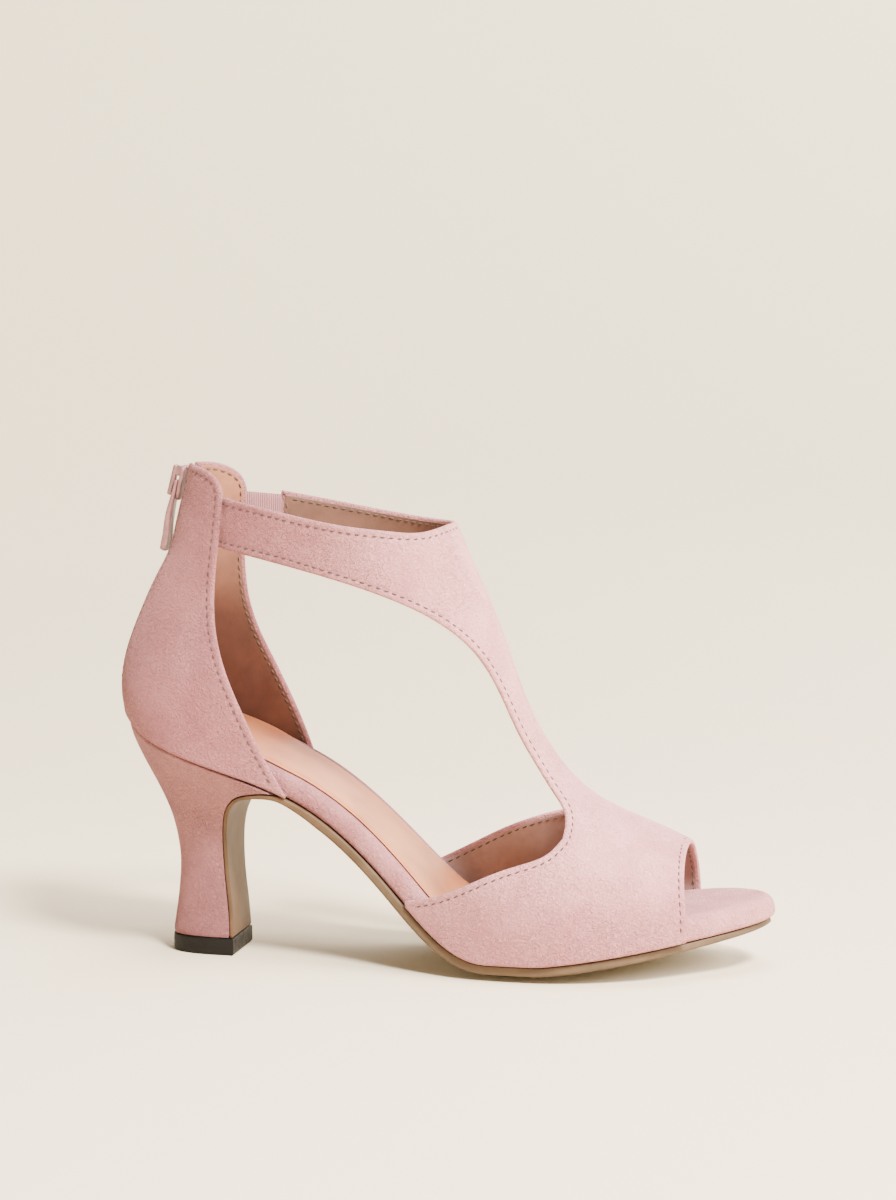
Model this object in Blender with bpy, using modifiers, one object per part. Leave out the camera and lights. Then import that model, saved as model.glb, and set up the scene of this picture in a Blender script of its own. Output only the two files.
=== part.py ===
"""T-strap shoe for the right foot, with a flared heel, an open toe and a zip at the back.

Lengths are millimetres in the tables and metres in the finished meshes.
x runs from the back of the counter (0) to the toe, y is positive on the inner (medial) side
and z is the height above the floor. Everything is shifted at the end so that the origin is
the middle of the shoe's footprint.
"""
import math

import bmesh
import bpy
import numpy as np
from mathutils import Vector
from mathutils.geometry import delaunay_2d_cdt

MM = 0.001
GAP = 0.3                    # clearance between pieces that touch

# Whole shoe
ORIGIN_X = 114.35            # design x that becomes the origin's x
ORIGIN_Y = -0.25
NEAR, FAR = -1, 1            # outer (lateral) and inner (medial) side of a right shoe

# Walls and sheets
WALL = 1.8                   # suede and lining of the upper
BOARD = 7.6                  # wrapped platform
BOARD_ROUND = 2.4            # rounding of its upper edge
SOCK = 1.1
SOCK_INSET = 3.2             # from the platform's edge
SOCK_FRONT = 188.0           # hidden front end of the sock under the vamp
OUTSOLE = 3.0
OUTSOLE_BREAST = 1.2         # the sheet is skived thin down the breast
OUTSOLE_TOE = 1.9            # and thinner towards its front end
OUTSOLE_INSET = 1.0
OUTSOLE_TOE_INSET = 2.4      # beside the bare platform
BREAST_INSET = 0.2
OUTSOLE_TIP_INSET = 4.2      # its front end stays under the platform
BOARD_INSET = WALL + GAP

# Plan outline: half-ellipses at the heel and the toe, and a table of the two edges between
BACK_X, BACK_ROUND_X = 3.0, 33.0
TIP_X, TIP_ROUND_X = 231.0, 150.0
PLAN_COLUMNS = ("x", "near", "far")
PLAN_ROWS = (
    (3, -26.8, 26.6),
    (33, -26.9, 26.7),
    (60, -26.2, 25.2),
    (80, -25.6, 21.8),
    (100, -28.6, 23.2),
    (124, -36.2, 32.2),
    (150, -40.0, 38.6),
    (190, -37.6, 42.6),
    (212, -33.4, 46.6),
    (231, -31.5, 48.5),
)

# Underside of the platform along the middle, from the heel seat to the ball
BALL_BACK, BALL_FRONT = 136.0, 153.0   # flat tread between these
FEATHER_COLUMNS = ("x", "height")
FEATHER_ROWS = (
    (0, 82.6),
    (12, 76.2),
    (24, 72.0),
    (40, 66.9),
    (60, 59.8),
    (80, 47.2),
    (100, 28.4),
    (115, 13.2),
    (127, 5.2),
    (BALL_BACK, OUTSOLE + GAP),
)
TOE_SPRING, SPRING_POWER = 14.6, 1.25
# How far the edges of the sheets rise above their middle, and the padding under the inner arch
# and under the toes
CROWN_COLUMNS = ("x", "near", "far", "arch", "toes")
CROWN_ROWS = (
    (0, 0.0, 0.0, 0.0, 0.0),
    (20, 0.0, 0.0, 1.6, 0.0),
    (40, 0.0, 0.0, 3.2, 0.0),
    (60, 0.0, 0.0, 4.0, 0.0),
    (80, 0.7, 1.8, 3.2, 0.0),
    (100, 1.4, 2.6, 1.6, 0.0),
    (120, 2.2, 2.4, 0.4, 0.0),
    (150, 2.6, 2.6, 0.0, 0.4),
    (190, 2.2, 2.2, 0.0, 2.6),
    (212, 1.4, 1.6, 0.0, 1.3),
    (231, 0.0, 0.0, 0.0, 0.0),
)
CROWN_FLAT = 0.20            # share of the half-width that stays level

# Plane sections of the foot, from the ridge of the instep to the sole's edge or the back line
# (wide: share of the depth at the widest place; open: 1 where the base is the plan outline)
SECTION_COLUMNS = ("ridge_x", "ridge_z", "ridge_y", "base_x", "base_z", "near", "far",
                   "wide", "round", "blunt", "open")
ANKLE_ROWS = (
    (130.4, 124.0, 1.5, 12.6, 132.2, -28.5, 28.0, 0.325, 1.62, 0.50, 0),
    (125.3, 135.6, 1.0, 17.1, 141.0, -28.5, 28.0, 0.325, 1.62, 0.50, 0),
    (121.3, 144.6, 0.5, 19.9, 151.5, -28.2, 28.0, 0.330, 1.62, 0.50, 0),
    (117.7, 152.6, 0.5, 22.5, 161.5, -28.0, 28.0, 0.330, 1.62, 0.50, 0),
    (112.5, 163.5, 0.5, 25.2, 172.5, -28.0, 28.0, 0.330, 1.62, 0.50, 0),
)
FRONT_ROWS = (
    (212.0, 36.0, 6.0, 212, 11.5, -20.4, 33.4, 0.72, 2.0, 0.5, 1),
    (190.0, 46.8, 4.5, 190, 8.0, -33.5, 38.4, 0.70, 2.0, 0.5, 1),
    (173.0, 54.0, 4.5, 170, 5.2, -39.0, 40.4, 0.72, 2.0, 0.5, 1),
    (162.8, 60.4, 4.0, 152, 2.6, -41.2, 40.2, 0.74, 2.0, 0.5, 1),
    (152.6, 72.2, 3.5, 124, 5.0, -37.6, 34.0, 0.70, 2.0, 0.5, 1),
    (144.6, 86.5, 3.0, 100, 27.0, -31.0, 28.0, 0.58, 2.0, 0.5, 1),
    (137.0, 106.5, 2.0, 60, 57.0, -28.0, 27.5, 0.36, 2.0, 0.5, 1),
) + ANKLE_ROWS
BACK_ROWS = (
    (140.0, 28.2, 0.0, 3.2, 77.2, -27.0, 26.8, 0.782, 2.00, 0.50, 0),
    (140.0, 42.9, 0.0, 0.9, 86.0, -27.4, 27.2, 0.762, 2.00, 0.50, 0),
    (140.0, 55.2, 0.0, 0.1, 93.0, -27.6, 27.4, 0.730, 2.00, 0.50, 0),
    (139.0, 77.5, 0.5, 1.6, 105.0, -27.4, 27.2, 0.650, 1.90, 0.50, 0),
    (135.0, 103.0, 1.0, 6.3, 118.5, -27.6, 27.4, 0.480, 1.76, 0.50, 0),
) + ANKLE_ROWS

# Pattern edges drawn in side view, wrapped on to the sections above
PEEP_NEAR = ((199.7, 42.6), (200.4, 36.5), (201.6, 28.0), (202.4, 20.0), (202.2, 13.4))
PEEP_FAR = ((199.7, 42.6), (199.6, 36.5), (199.9, 28.0), (200.1, 20.0), (199.9, 13.4))
VAMP_NEAR = ((106.8, 25.0), (117.0, 27.2), (128.0, 31.7), (139.0, 36.8), (149.0, 40.3),
             (156.5, 43.6), (160.6, 48.0))
VAMP_FAR = ((108.0, 30.0), (119.0, 35.4), (130.0, 40.9), (140.0, 45.0), (149.0, 47.9),
            (155.6, 50.4), (159.4, 54.0))
BAR_NEAR = ((160.6, 48.0), (160.6, 54.2), (156.4, 61.0), (149.5, 70.7), (144.0, 79.7), (139.5, 89.0),
            (134.7, 99.3), (129.4, 107.8), (118.0, 118.4), (100.0, 127.4), (80.0, 133.6), (58.0, 138.8),
            (34.6, 143.5))
BAR_FAR = ((159.4, 54.0), (158.2, 59.0), (154.6, 63.6), (148.4, 72.4), (143.0, 81.4), (138.6, 90.4),
           (134.0, 100.2), (128.6, 108.2), (117.4, 118.2), (99.0, 127.4), (76.0, 134.6), (52.2, 140.6))
BAND_END_NEAR = ((34.6, 143.5), (34.6, 161.0))
BAND_END_FAR = ((52.2, 140.6), (51.2, 150.4), (51.8, 160.2))
BAND_TOP_NEAR = ((34.6, 161.0), (48.0, 158.5), (64.0, 155.3), (84.0, 151.6), (102.0, 149.6),
                 (112.4, 149.4), (118.2, 151.4))
BAND_TOP_FAR = ((51.8, 160.2), (66.0, 157.4), (80.0, 154.7), (94.0, 152.4), (107.0, 151.2),
                (114.6, 151.2), (118.2, 151.4))
COUNTER_TOP_NEAR = ((24.9, 171.0), (27.6, 170.5), (31.6, 169.5), (35.6, 167.8), (38.8, 165.0), (40.4, 161.4))
COUNTER_FRONT_NEAR = ((40.4, 161.4), (39.7, 151.0), (38.6, 141.0), (37.9, 132.0), (38.2, 121.0),
                      (40.4, 110.0), (44.0, 100.0), (48.6, 89.6), (53.2, 79.6), (57.8, 70.4), (64.6, 58.4))
COUNTER_TOP_FAR = ((24.9, 171.0), (27.8, 170.9), (31.4, 170.2), (35.4, 168.4), (38.8, 165.2), (40.2, 161.2))
COUNTER_FRONT_FAR = ((40.2, 161.2), (39.8, 151.0), (39.3, 141.0), (39.4, 131.0), (40.4, 121.0),
                     (43.0, 111.0), (47.0, 101.5), (51.2, 93.0), (55.4, 84.4), (60.0, 74.0), (64.6, 61.8))

# Heel: one row for each level of its cover, from the top piece up to the seat
HEEL_COLUMNS = ("back_x", "back_z", "front_x", "front_z", "half_width", "round")
TOP_PIECE = 6.0
TOP_PIECE_FRONT, TOP_PIECE_HALF = 42.6, 13.3
HEEL_ROWS = (
    (18.2, TOP_PIECE + GAP, 41.0, TOP_PIECE + GAP, 13.1, 2.5),
    (19.7, 17.0, 40.5, 15.0, 12.4, 2.4),
    (20.7, 29.0, 39.4, 26.0, 12.1, 2.3),
    (20.1, 38.5, 38.8, 37.0, 12.7, 2.2),
    (17.5, 48.5, 39.2, 46.0, 14.4, 2.1),
    (13.1, 58.0, 41.2, 52.4, 17.4, 2.0),
    (8.1, 67.0, 45.4, 56.6, 21.0, 2.0),
    (4.6, 74.0, 51.6, 58.4, 24.4, 2.0),
    (3.0, 79.2, 61.0, 58.6, 26.9, 2.0),
)
HEEL_TIP_X = 61.0            # front end of the heel's wings, on the seat
HEEL_SIDE_STEPS = 14
HEEL_LEVELS = 22
SEAT_BLEND = 5               # power of the change from flat levels to the curved seat

# Zip at the back
SLOT_HALF = 3.4
SLOT_BOTTOM = 94.0
TAPE_WIDTH, TAPE, TAPE_GAP = 20.0, 0.8, 0.7
CHAIN_WIDTH, CHAIN = 4.2, 2.0
CHAIN_BOTTOM = 96.0
ELASTIC_BACK, ELASTIC_FRONT = 34.5, 59.5
ELASTIC = 1.4
# Slider and pull, in the zip's own frame: up along the zip, across it, and out from the counter
HINGE_HEIGHT = 163.6         # of the counter's back line where the pull's bar crosses it
PLATE_UP, PLATE_DOWN = 6.2, -6.4
PLATE_WIDTH, PLATE_LOW_WIDTH = 8.0, 5.8
OUTER_PLATE = (0.5, 1.85)    # lower and upper face, out from the counter's surface
INNER_PLATE = (-5.2, -3.9)
INNER_WIDTH = 4.4
POST_DOWN, POST_WIDTH = 5.0, 3.6
BRIDGE = (3.65, 4.85)
BRIDGE_REACH, BRIDGE_LEG, BRIDGE_WIDTH = 5.4, 1.2, 2.8
ZIP_END_BELOW_POST = 0.4
AXIS_OUT = 2.75              # hinge axis, out from the counter's surface
PULL_LENGTH, PULL_TOP_WIDTH, PULL_WIDTH, PULL = 25.0, 6.2, 6.8, 1.2
PULL_BAR = 1.0               # bar of the pull that turns under the bridge
PULL_HOLE_END, PULL_HOLE_WIDTH = 6.3, 3.6
PULL_STRAIGHT = 8.0          # the pull bends to the counter below this

# Mesh sizes
UPPER_STEP, BOARD_STEP, SHEET_STEP = 5.6, 6.0, 5.0
EDGE_STEP = 4.2
BOARD_ACROSS, OUTSOLE_ACROSS = 0.85, 0.5   # spacing of the mesh along over across
TAPE_STEP = 3.6
TOE_STRETCH = 40.0           # length of the toe over which the outsole's outline closes
TOE_THIN_X = 170.0           # the outsole thins from here to its front end

SUEDE = ((0.62, 0.35, 0.33), 0.92, 0.0)
SUEDE_DEEP = ((0.52, 0.27, 0.26), 0.92, 0.0)
ELASTIC_PINK = ((0.66, 0.42, 0.40), 0.85, 0.0)
LINING = ((0.66, 0.42, 0.28), 0.6, 0.0)
SOLE_BEIGE = ((0.46, 0.34, 0.22), 0.6, 0.0)
RUBBER = ((0.03, 0.028, 0.026), 0.6, 0.0)
ENAMEL = ((0.45, 0.26, 0.25), 0.35, 0.0)


def clear_scene():
    for old in list(bpy.data.objects):
        bpy.data.objects.remove(old, do_unlink=True)


def make_collection(name):
    made = bpy.data.collections.new(name)
    bpy.context.scene.collection.children.link(made)
    return made


def make_material(name, look):
    colour, roughness, metallic = look
    material = bpy.data.materials.new(name)
    material.use_nodes = True
    shader = material.node_tree.nodes["Principled BSDF"]
    shader.inputs["Base Color"].default_value = (*colour, 1.0)
    shader.inputs["Roughness"].default_value = roughness
    shader.inputs["Metallic"].default_value = metallic
    return material


def smooth_curve(knots, values, end_slope=None):
    """Cubic curve through the rows of a table, free at its ends or with a given last slope."""
    knots = np.asarray(knots, float)
    values = np.asarray(values, float)
    count = len(knots)
    spans = np.diff(knots)
    slopes = np.diff(values) / spans
    matrix = np.zeros((count, count))
    right = np.zeros(count)
    matrix[0, 0] = 1.0
    for row in range(1, count - 1):
        matrix[row, row - 1:row + 2] = spans[row - 1], 2 * (spans[row - 1] + spans[row]), spans[row]
        right[row] = 6 * (slopes[row] - slopes[row - 1])
    matrix[-1, -1] = 1.0
    if end_slope is not None:
        matrix[-1, -2:] = spans[-1], 2 * spans[-1]
        right[-1] = 6 * (end_slope - slopes[-1])
    bends = np.linalg.solve(matrix, right)

    def at(where):
        where = np.clip(where, knots[0], knots[-1])
        row = np.clip(np.searchsorted(knots, where) - 1, 0, count - 2)
        left = (knots[row + 1] - where) / spans[row]
        after = 1 - left
        bend = (left ** 3 - left) * bends[row] + (after ** 3 - after) * bends[row + 1]
        return left * values[row] + after * values[row + 1] + bend * spans[row] ** 2 / 6

    return at


def table_curves(columns, rows, knots=None, end_slope=None):
    """One smooth curve for each column of a table, over its first column or over given knots."""
    columns_of_rows = list(zip(*rows))
    if knots is None:
        knots = columns_of_rows[0]
    return {name: smooth_curve(knots, values, end_slope) for name, values in zip(columns, columns_of_rows)}


PLAN = table_curves(PLAN_COLUMNS, PLAN_ROWS)
FEATHER = table_curves(FEATHER_COLUMNS, FEATHER_ROWS, end_slope=0.0)["height"]
CROWN = table_curves(CROWN_COLUMNS, CROWN_ROWS)


def plan_edges(x):
    """Near and far edge of the shoe's plan outline at a distance x from the back."""
    near, far = float(PLAN["near"](x)), float(PLAN["far"](x))
    half, middle = (far - near) / 2, (far + near) / 2
    heel = max(0.0, BACK_ROUND_X - x) / (BACK_ROUND_X - BACK_X)
    toe = max(0.0, x - TIP_ROUND_X) / (TIP_X - TIP_ROUND_X)
    half *= math.sqrt(max(0.0, 1 - min(1.0, heel) ** 2))
    half *= math.sqrt(max(0.0, 1 - min(1.0, toe) ** 2))
    return middle - half, middle + half


def plan_outline(inset, start, end, steps):
    """Closed plan outline between two x, pulled in by an inset, as points (x, y)."""
    turn = np.linspace(0, math.pi, steps)
    stations = start + (end - start) * (1 - np.cos(turn)) / 2
    near = [Vector((x, plan_edges(x)[0])) for x in stations]
    far = [Vector((x, plan_edges(x)[1])) for x in reversed(stations)]
    ring = near + far
    inner = []
    for index, point in enumerate(ring):
        along = ring[(index + 1) % len(ring)] - ring[index - 1]
        if along.length < 1e-6:
            continue
        inward = Vector((-along.y, along.x)).normalized()
        inner.append(point + inward * inset)
    return even_ring(inner, EDGE_STEP)


def even_ring(points, step):
    """The same closed ring with points about one step apart."""
    closed = [np.array(point) for point in points] + [np.array(points[0])]
    lengths = np.cumsum([0.0] + [float(np.linalg.norm(b - a)) for a, b in zip(closed, closed[1:])])
    count = max(8, round(lengths[-1] / step))
    wanted = np.linspace(0, lengths[-1], count, endpoint=False)
    table = np.array(closed)
    return [(float(np.interp(at, lengths, table[:, 0])), float(np.interp(at, lengths, table[:, 1])))
            for at in wanted]


def feather_middle(x):
    """Height of the platform's underside along the middle."""
    if x <= BALL_BACK:
        return float(FEATHER(x))
    spring = max(0.0, x - BALL_FRONT) / (TIP_X - BALL_FRONT)
    return OUTSOLE + GAP + TOE_SPRING * spring ** SPRING_POWER


def edge_share(x, y):
    """0 on the level middle of a sheet, rising to 1 at its edges, and the side it lies on."""
    near, far = plan_edges(x)
    half, middle = max((far - near) / 2, 1.0), (far + near) / 2
    across = (y - middle) / half
    share = (abs(across) - CROWN_FLAT) / (1 - CROWN_FLAT)
    return min(1.2, max(0.0, share)) ** 2, (NEAR if across < 0 else FAR)


def edge_rise(x, y):
    """How far a sheet rises above its middle at a point of the plan."""
    share, side = edge_share(x, y)
    return share * max(0.0, float(CROWN["near" if side == NEAR else "far"](x)))


def feather_edge(x, side):
    """Height of the feather line on one side."""
    y = plan_edges(x)[0 if side == NEAR else 1]
    return feather_middle(x) + edge_rise(x, y)


def normal_of(height_at, x):
    """Unit normal, in side view, of a height curve."""
    step = 0.5
    slope = (height_at(x + step) - height_at(x - step)) / (2 * step)
    return Vector((-slope, 0, 1)).normalized()


def on_footbed(x, y, lift):
    """Point above the platform's underside."""
    base = Vector((x, y, feather_middle(x) + edge_rise(x, y)))
    share, side = edge_share(x, y)
    padding = max(0.0, 1 - share ** 2) * max(0.0, float(CROWN["toes"](x)))
    if side == FAR:
        padding += share * float(CROWN["arch"](x))
    return base + normal_of(feather_middle, x) * lift + Vector((0, 0, padding * min(1.0, lift / BOARD)))


class Sections:
    """Plane sections fanned round the foot, and the surface through them."""

    SAMPLES = 48

    def __init__(self, rows, from_ridge):
        ridge = np.array([row[:2] for row in rows])
        base = np.array([row[3:5] for row in rows])
        spaced = ridge if from_ridge else base
        steps = np.linalg.norm(np.diff(spaced, axis=0), axis=1)
        self.knots = np.concatenate([[0.0], np.cumsum(steps)])
        self.curves = table_curves(SECTION_COLUMNS, rows, self.knots)
        for name, side in (("near_base", 0), ("far_base", 1)):
            edges = [plan_edges(row[3])[side] * row[-1] for row in rows]
            self.curves[name] = smooth_curve(self.knots, edges)
        self.from_ridge = from_ridge
        turn = np.linspace(0, math.pi / 2, self.SAMPLES)
        self.nose = 1 - np.cos(turn)
        self.tail = np.sin(turn)[1:]

    def sizes(self, along):
        return {name: float(curve(along)) for name, curve in self.curves.items()}

    def line(self, along, side):
        """Samples of one half section: depth share, breadth and length from the ridge."""
        size = self.sizes(along)
        edge = size["near"] if side < 0 else size["far"]
        base = size["near_base"] if side < 0 else size["far_base"]
        nose_y = size["ridge_y"] + (edge - size["ridge_y"]) * np.sqrt(1 - (1 - self.nose) ** 2)
        tail_y = base + (edge - base) * (1 - self.tail ** size["round"]) ** size["blunt"]
        depth = np.concatenate([self.nose * size["wide"], size["wide"] + (1 - size["wide"]) * self.tail])
        y = np.concatenate([nose_y, tail_y])
        ridge = np.array((size["ridge_x"], size["ridge_z"]))
        span = np.array((size["base_x"], size["base_z"])) - ridge
        reach = depth * np.linalg.norm(span)
        length = np.concatenate([[0.0], np.cumsum(np.hypot(np.diff(reach), np.diff(y)))])
        return ridge, span, depth, y, length

    def point(self, along, across):
        """Point of the surface at a length along the ridge (or back line) and a length across."""
        ridge, span, depth, y, length = self.line(along, across)
        reach = abs(across) if self.from_ridge else length[-1] - abs(across)
        share = np.interp(reach, length, depth)
        spot = ridge + span * share
        return Vector((spot[0], float(np.interp(reach, length, y)), spot[1]))

    def turn(self, along, x, z):
        """Which side of the sections' planes a point lies on, and its share of their depth."""
        ridge_x, ridge_z = self.curves["ridge_x"](along), self.curves["ridge_z"](along)
        span_x, span_z = self.curves["base_x"](along) - ridge_x, self.curves["base_z"](along) - ridge_z
        share = (span_x * (x - ridge_x) + span_z * (z - ridge_z)) / (span_x ** 2 + span_z ** 2)
        return (x - ridge_x) * span_z - (z - ridge_z) * span_x, share

    def place(self, x, z, side):
        """Lengths (along, across) of the surface point that is seen from one side at x, z."""
        low, high = self.knots[0], self.knots[-1]
        for samples in (160, 20, 20):
            grid = np.linspace(low, high, samples)
            offset, share = self.turn(grid, x, z)
            crossed = (offset[:-1] * offset[1:] <= 0) & (share[:-1] > -0.1) & (share[:-1] < 1.1)
            first = int(np.argmax(crossed))
            if not crossed[first]:
                raise ValueError(f"{x:.1f}, {z:.1f} lies outside the sections")
            low, high = grid[first], grid[first + 1]
        along = float((low + high) / 2)
        share = min(1.0, max(0.0, float(self.turn(along, x, z)[1])))
        ridge, span, depth, y, length = self.line(along, side)
        reach = float(np.interp(share, depth, length))
        across = reach if self.from_ridge else length[-1] - reach
        return along, side * across

    def normal(self, along, across):
        step = 0.4
        first = self.point(along + step, across) - self.point(along - step, across)
        second = self.point(along, across + step) - self.point(along, across - step)
        normal = second.cross(first).normalized()
        return normal if self.from_ridge else -normal


FRONT = Sections(FRONT_ROWS, from_ridge=True)
BACK = Sections(BACK_ROWS, from_ridge=False)


def drawn_edge(points, step=EDGE_STEP):
    """Smooth side-view curve through the given points, sampled about one step apart."""
    table = np.array(points, float)
    knots = np.concatenate([[0.0], np.cumsum(np.linalg.norm(np.diff(table, axis=0), axis=1))])
    across, height = smooth_curve(knots, table[:, 0]), smooth_curve(knots, table[:, 1])
    count = max(2, round(knots[-1] / step))
    return [(float(across(at)), float(height(at))) for at in np.linspace(0, knots[-1], count + 1)]


def feather_points(start, end, side, step=EDGE_STEP):
    count = max(2, round(abs(end - start) / step))
    return [(float(x), feather_edge(float(x), side) + GAP) for x in np.linspace(start, end, count + 1)]


def wrap(sections, side, *edges):
    """Edges drawn in side view, as one run of (along, across) lengths."""
    run = []
    for edge in edges:
        for x, z in edge:
            spot = sections.place(x, z, side)
            if not run or math.dist(run[-1], spot) > 0.4:
                run.append(spot)
    return run


def front_pattern():
    """Vamp, T-bar and ankle band in one outline."""
    near = wrap(FRONT, NEAR, drawn_edge(PEEP_NEAR), feather_points(PEEP_NEAR[-1][0], 106.8, NEAR),
                drawn_edge(VAMP_NEAR), drawn_edge(BAR_NEAR), drawn_edge(BAND_END_NEAR),
                drawn_edge(BAND_TOP_NEAR))
    far = wrap(FRONT, FAR, drawn_edge(PEEP_FAR), feather_points(PEEP_FAR[-1][0], 107.4, FAR),
               drawn_edge(VAMP_FAR), drawn_edge(BAR_FAR), drawn_edge(BAND_END_FAR),
               drawn_edge(BAND_TOP_FAR))
    return near[1:-1] + [near[-1]] + far[-2:0:-1] + [near[0]]


def back_pattern():
    """Counter, with the zip's slot down its back."""
    top = BACK.knots[0] + BACK.place(25.2, 171.0, NEAR)[0]
    bottom = BACK.place(0.4, SLOT_BOTTOM, NEAR)[0]
    near = wrap(BACK, NEAR, drawn_edge(COUNTER_TOP_NEAR), drawn_edge(COUNTER_FRONT_NEAR),
                feather_points(COUNTER_FRONT_NEAR[-1][0] - 0.4, 3.4, NEAR))
    far = wrap(BACK, FAR, drawn_edge(COUNTER_TOP_FAR), drawn_edge(COUNTER_FRONT_FAR),
               feather_points(COUNTER_FRONT_FAR[-1][0] - 0.4, 3.4, FAR))
    near = [spot for spot in near if spot[1] < -SLOT_HALF - 0.5 or spot[0] < bottom - 4]
    far = [spot for spot in far if spot[1] > SLOT_HALF + 0.5 or spot[0] < bottom - 4]
    heights = np.linspace(bottom, top, max(3, round((top - bottom) / EDGE_STEP)))
    slot_near = [(float(at), -SLOT_HALF) for at in heights]
    slot_far = [(float(at), SLOT_HALF) for at in heights[::-1]]
    bend = [(bottom - SLOT_HALF * math.cos(turn), SLOT_HALF * math.sin(turn))
            for turn in np.linspace(-math.pi / 3, math.pi / 3, 4)]
    return near + far[::-1] + slot_far + bend[::-1] + slot_near


def fill_outline(outline, step):
    """Triangles inside an outline, with a grid of inner points."""
    ring = np.array(outline)
    after = np.roll(ring, -1, axis=0)
    low, high = ring.min(axis=0), ring.max(axis=0)
    row_step = step * math.sqrt(3) / 2
    inner = []
    for row, b in enumerate(np.arange(low[1], high[1], row_step)):
        for a in np.arange(low[0] + (row % 2) * step / 2, high[0], step):
            spot = np.array((a, b))
            crossing = (ring[:, 1] > b) != (after[:, 1] > b)
            safe = np.where(crossing, after[:, 1] - ring[:, 1], 1.0)
            at = ring[:, 0] + (b - ring[:, 1]) * (after[:, 0] - ring[:, 0]) / safe
            if np.count_nonzero(crossing & (a < at)) % 2 == 0:
                continue
            if np.min(np.linalg.norm(ring - spot, axis=1)) > 0.62 * step:
                inner.append((float(a), float(b)))
    points = [Vector(spot) for spot in list(outline) + inner]
    count = len(outline)
    loop = [(index, (index + 1) % count) for index in range(count)]
    spots, _, faces, origins, _, _ = delaunay_2d_cdt(points, loop, [], 1, 1e-5)
    return [(spot.x, spot.y) for spot in spots], [tuple(face) for face in faces], count


def add_object(name, mesh, collection, material, smooth=True):
    made = bpy.data.objects.new(name, mesh)
    collection.objects.link(made)
    made.data.materials.append(material)
    if smooth:
        mesh.shade_smooth()
        mesh.set_sharp_from_angle(angle=math.radians(40))
    return made


def to_metres(point):
    return ((point[0] - ORIGIN_X) * MM, (point[1] - ORIGIN_Y) * MM, point[2] * MM)


def open_surface(name, outline, step, place):
    """Mesh of a surface inside an outline; place(a, b) gives each point."""
    spots, faces, _ = fill_outline(outline, step)
    mesh = bpy.data.meshes.new(name)
    mesh.from_pydata([to_metres(place(a, b)) for a, b in spots], [], faces)
    mesh.update()
    return mesh


def face_outward(mesh, outward_at):
    """Turn the whole surface over if its first face looks the wrong way."""
    face = mesh.polygons[0]
    if Vector(face.normal).dot(outward_at(face.center)) < 0:
        mesh.flip_normals()


def solidify(made, thickness, offset=-1.0):
    wall = made.modifiers.new("Wall", "SOLIDIFY")
    wall.thickness = thickness * MM
    wall.offset = offset
    wall.use_even_offset = True
    wall.use_quality_normals = True
    return wall


def slab(name, outline, step, place, layers, collection, material, across=1.0):
    """Closed sheet: place(a, b, share) gives points from its lower (0) to its upper face (1).

    layers are rows of (inset, share) down its rim, from the lower to the upper face. The mesh
    is coarser along b than along a where across is under 1.
    """
    spots, faces, count = fill_outline([(a, b * across) for a, b in outline], step)
    spots = [(a, b / across) for a, b in spots]
    ring = [Vector(spot) for spot in outline]
    inward = []
    for index in range(count):
        along = ring[(index + 1) % count] - ring[index - 1]
        inward.append(Vector((-along.y, along.x)).normalized())
    area = sum(a.x * b.y - b.x * a.y for a, b in zip(ring, ring[1:] + ring[:1]))
    turn = 1 if area > 0 else -1
    mesh = bmesh.new()

    def rim(inset, share):
        return [mesh.verts.new(to_metres(place(*(ring[i] + inward[i] * inset * turn), share)))
                for i in range(count)]

    rims = [rim(*layer) for layer in layers]
    for edge, share, flip in ((rims[0], layers[0][1], True), (rims[-1], layers[-1][1], False)):
        verts = edge + [mesh.verts.new(to_metres(place(a, b, share))) for a, b in spots[count:]]
        for face in faces:
            corners = [verts[index] for index in face]
            mesh.faces.new(corners[::-1] if flip else corners)
    for low, high in zip(rims, rims[1:]):
        for index in range(count):
            after = (index + 1) % count
            mesh.faces.new((low[index], low[after], high[after], high[index]))
    bmesh.ops.recalc_face_normals(mesh, faces=mesh.faces)
    data = bpy.data.meshes.new(name)
    mesh.to_mesh(data)
    mesh.free()
    return add_object(name, data, collection, material)


def join_by_union(base, added):
    """Fuse a second solid into the first one."""
    union = base.modifiers.new("Join " + added.name, "BOOLEAN")
    union.operation = "UNION"
    union.solver = "EXACT"
    union.object = added
    added.hide_render = True
    added.display_type = "WIRE"


def build_upper(parts, guides, material):
    front_mesh = open_surface("band_front", front_pattern(), UPPER_STEP, FRONT.point)
    face_outward(front_mesh, lambda centre: centre - Vector(to_metres((110, 0, 60))))
    front = add_object("upper_front_guide", front_mesh, guides, material)
    solidify(front, WALL)
    back_mesh = open_surface("upper", back_pattern(), UPPER_STEP, BACK.point)
    face_outward(back_mesh, lambda centre: centre - Vector(to_metres((60, 0, 100))))
    upper = add_object("upper", back_mesh, parts, material)
    solidify(upper, WALL)
    join_by_union(upper, front)
    return upper


def build_board(parts, material):
    outline = plan_outline(BOARD_INSET, BACK_X + 0.05, TIP_X - 0.05, 90)
    layers = ((0.5, 0.0), (0.0, 0.08), (0.0, 1 - BOARD_ROUND / BOARD),
              (BOARD_ROUND * 0.3, 1 - BOARD_ROUND * 0.3 / BOARD), (BOARD_ROUND, 1.0))
    return slab("insole_board", outline, BOARD_STEP, lambda x, y, share: on_footbed(x, y, share * BOARD),
                layers, parts, material, BOARD_ACROSS)


def sock_outline():
    ring = plan_outline(BOARD_INSET + SOCK_INSET, BACK_X + 0.05, TIP_X - 0.05, 90)
    cut = []
    for x, y in ring:
        near, far = plan_edges(SOCK_FRONT)
        middle = (near + far) / 2
        bow = SOCK_FRONT - ((y - middle) / (far - near)) ** 2 * 24
        cut.append((min(x, bow), y))
    return even_ring(cut, EDGE_STEP)


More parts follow.
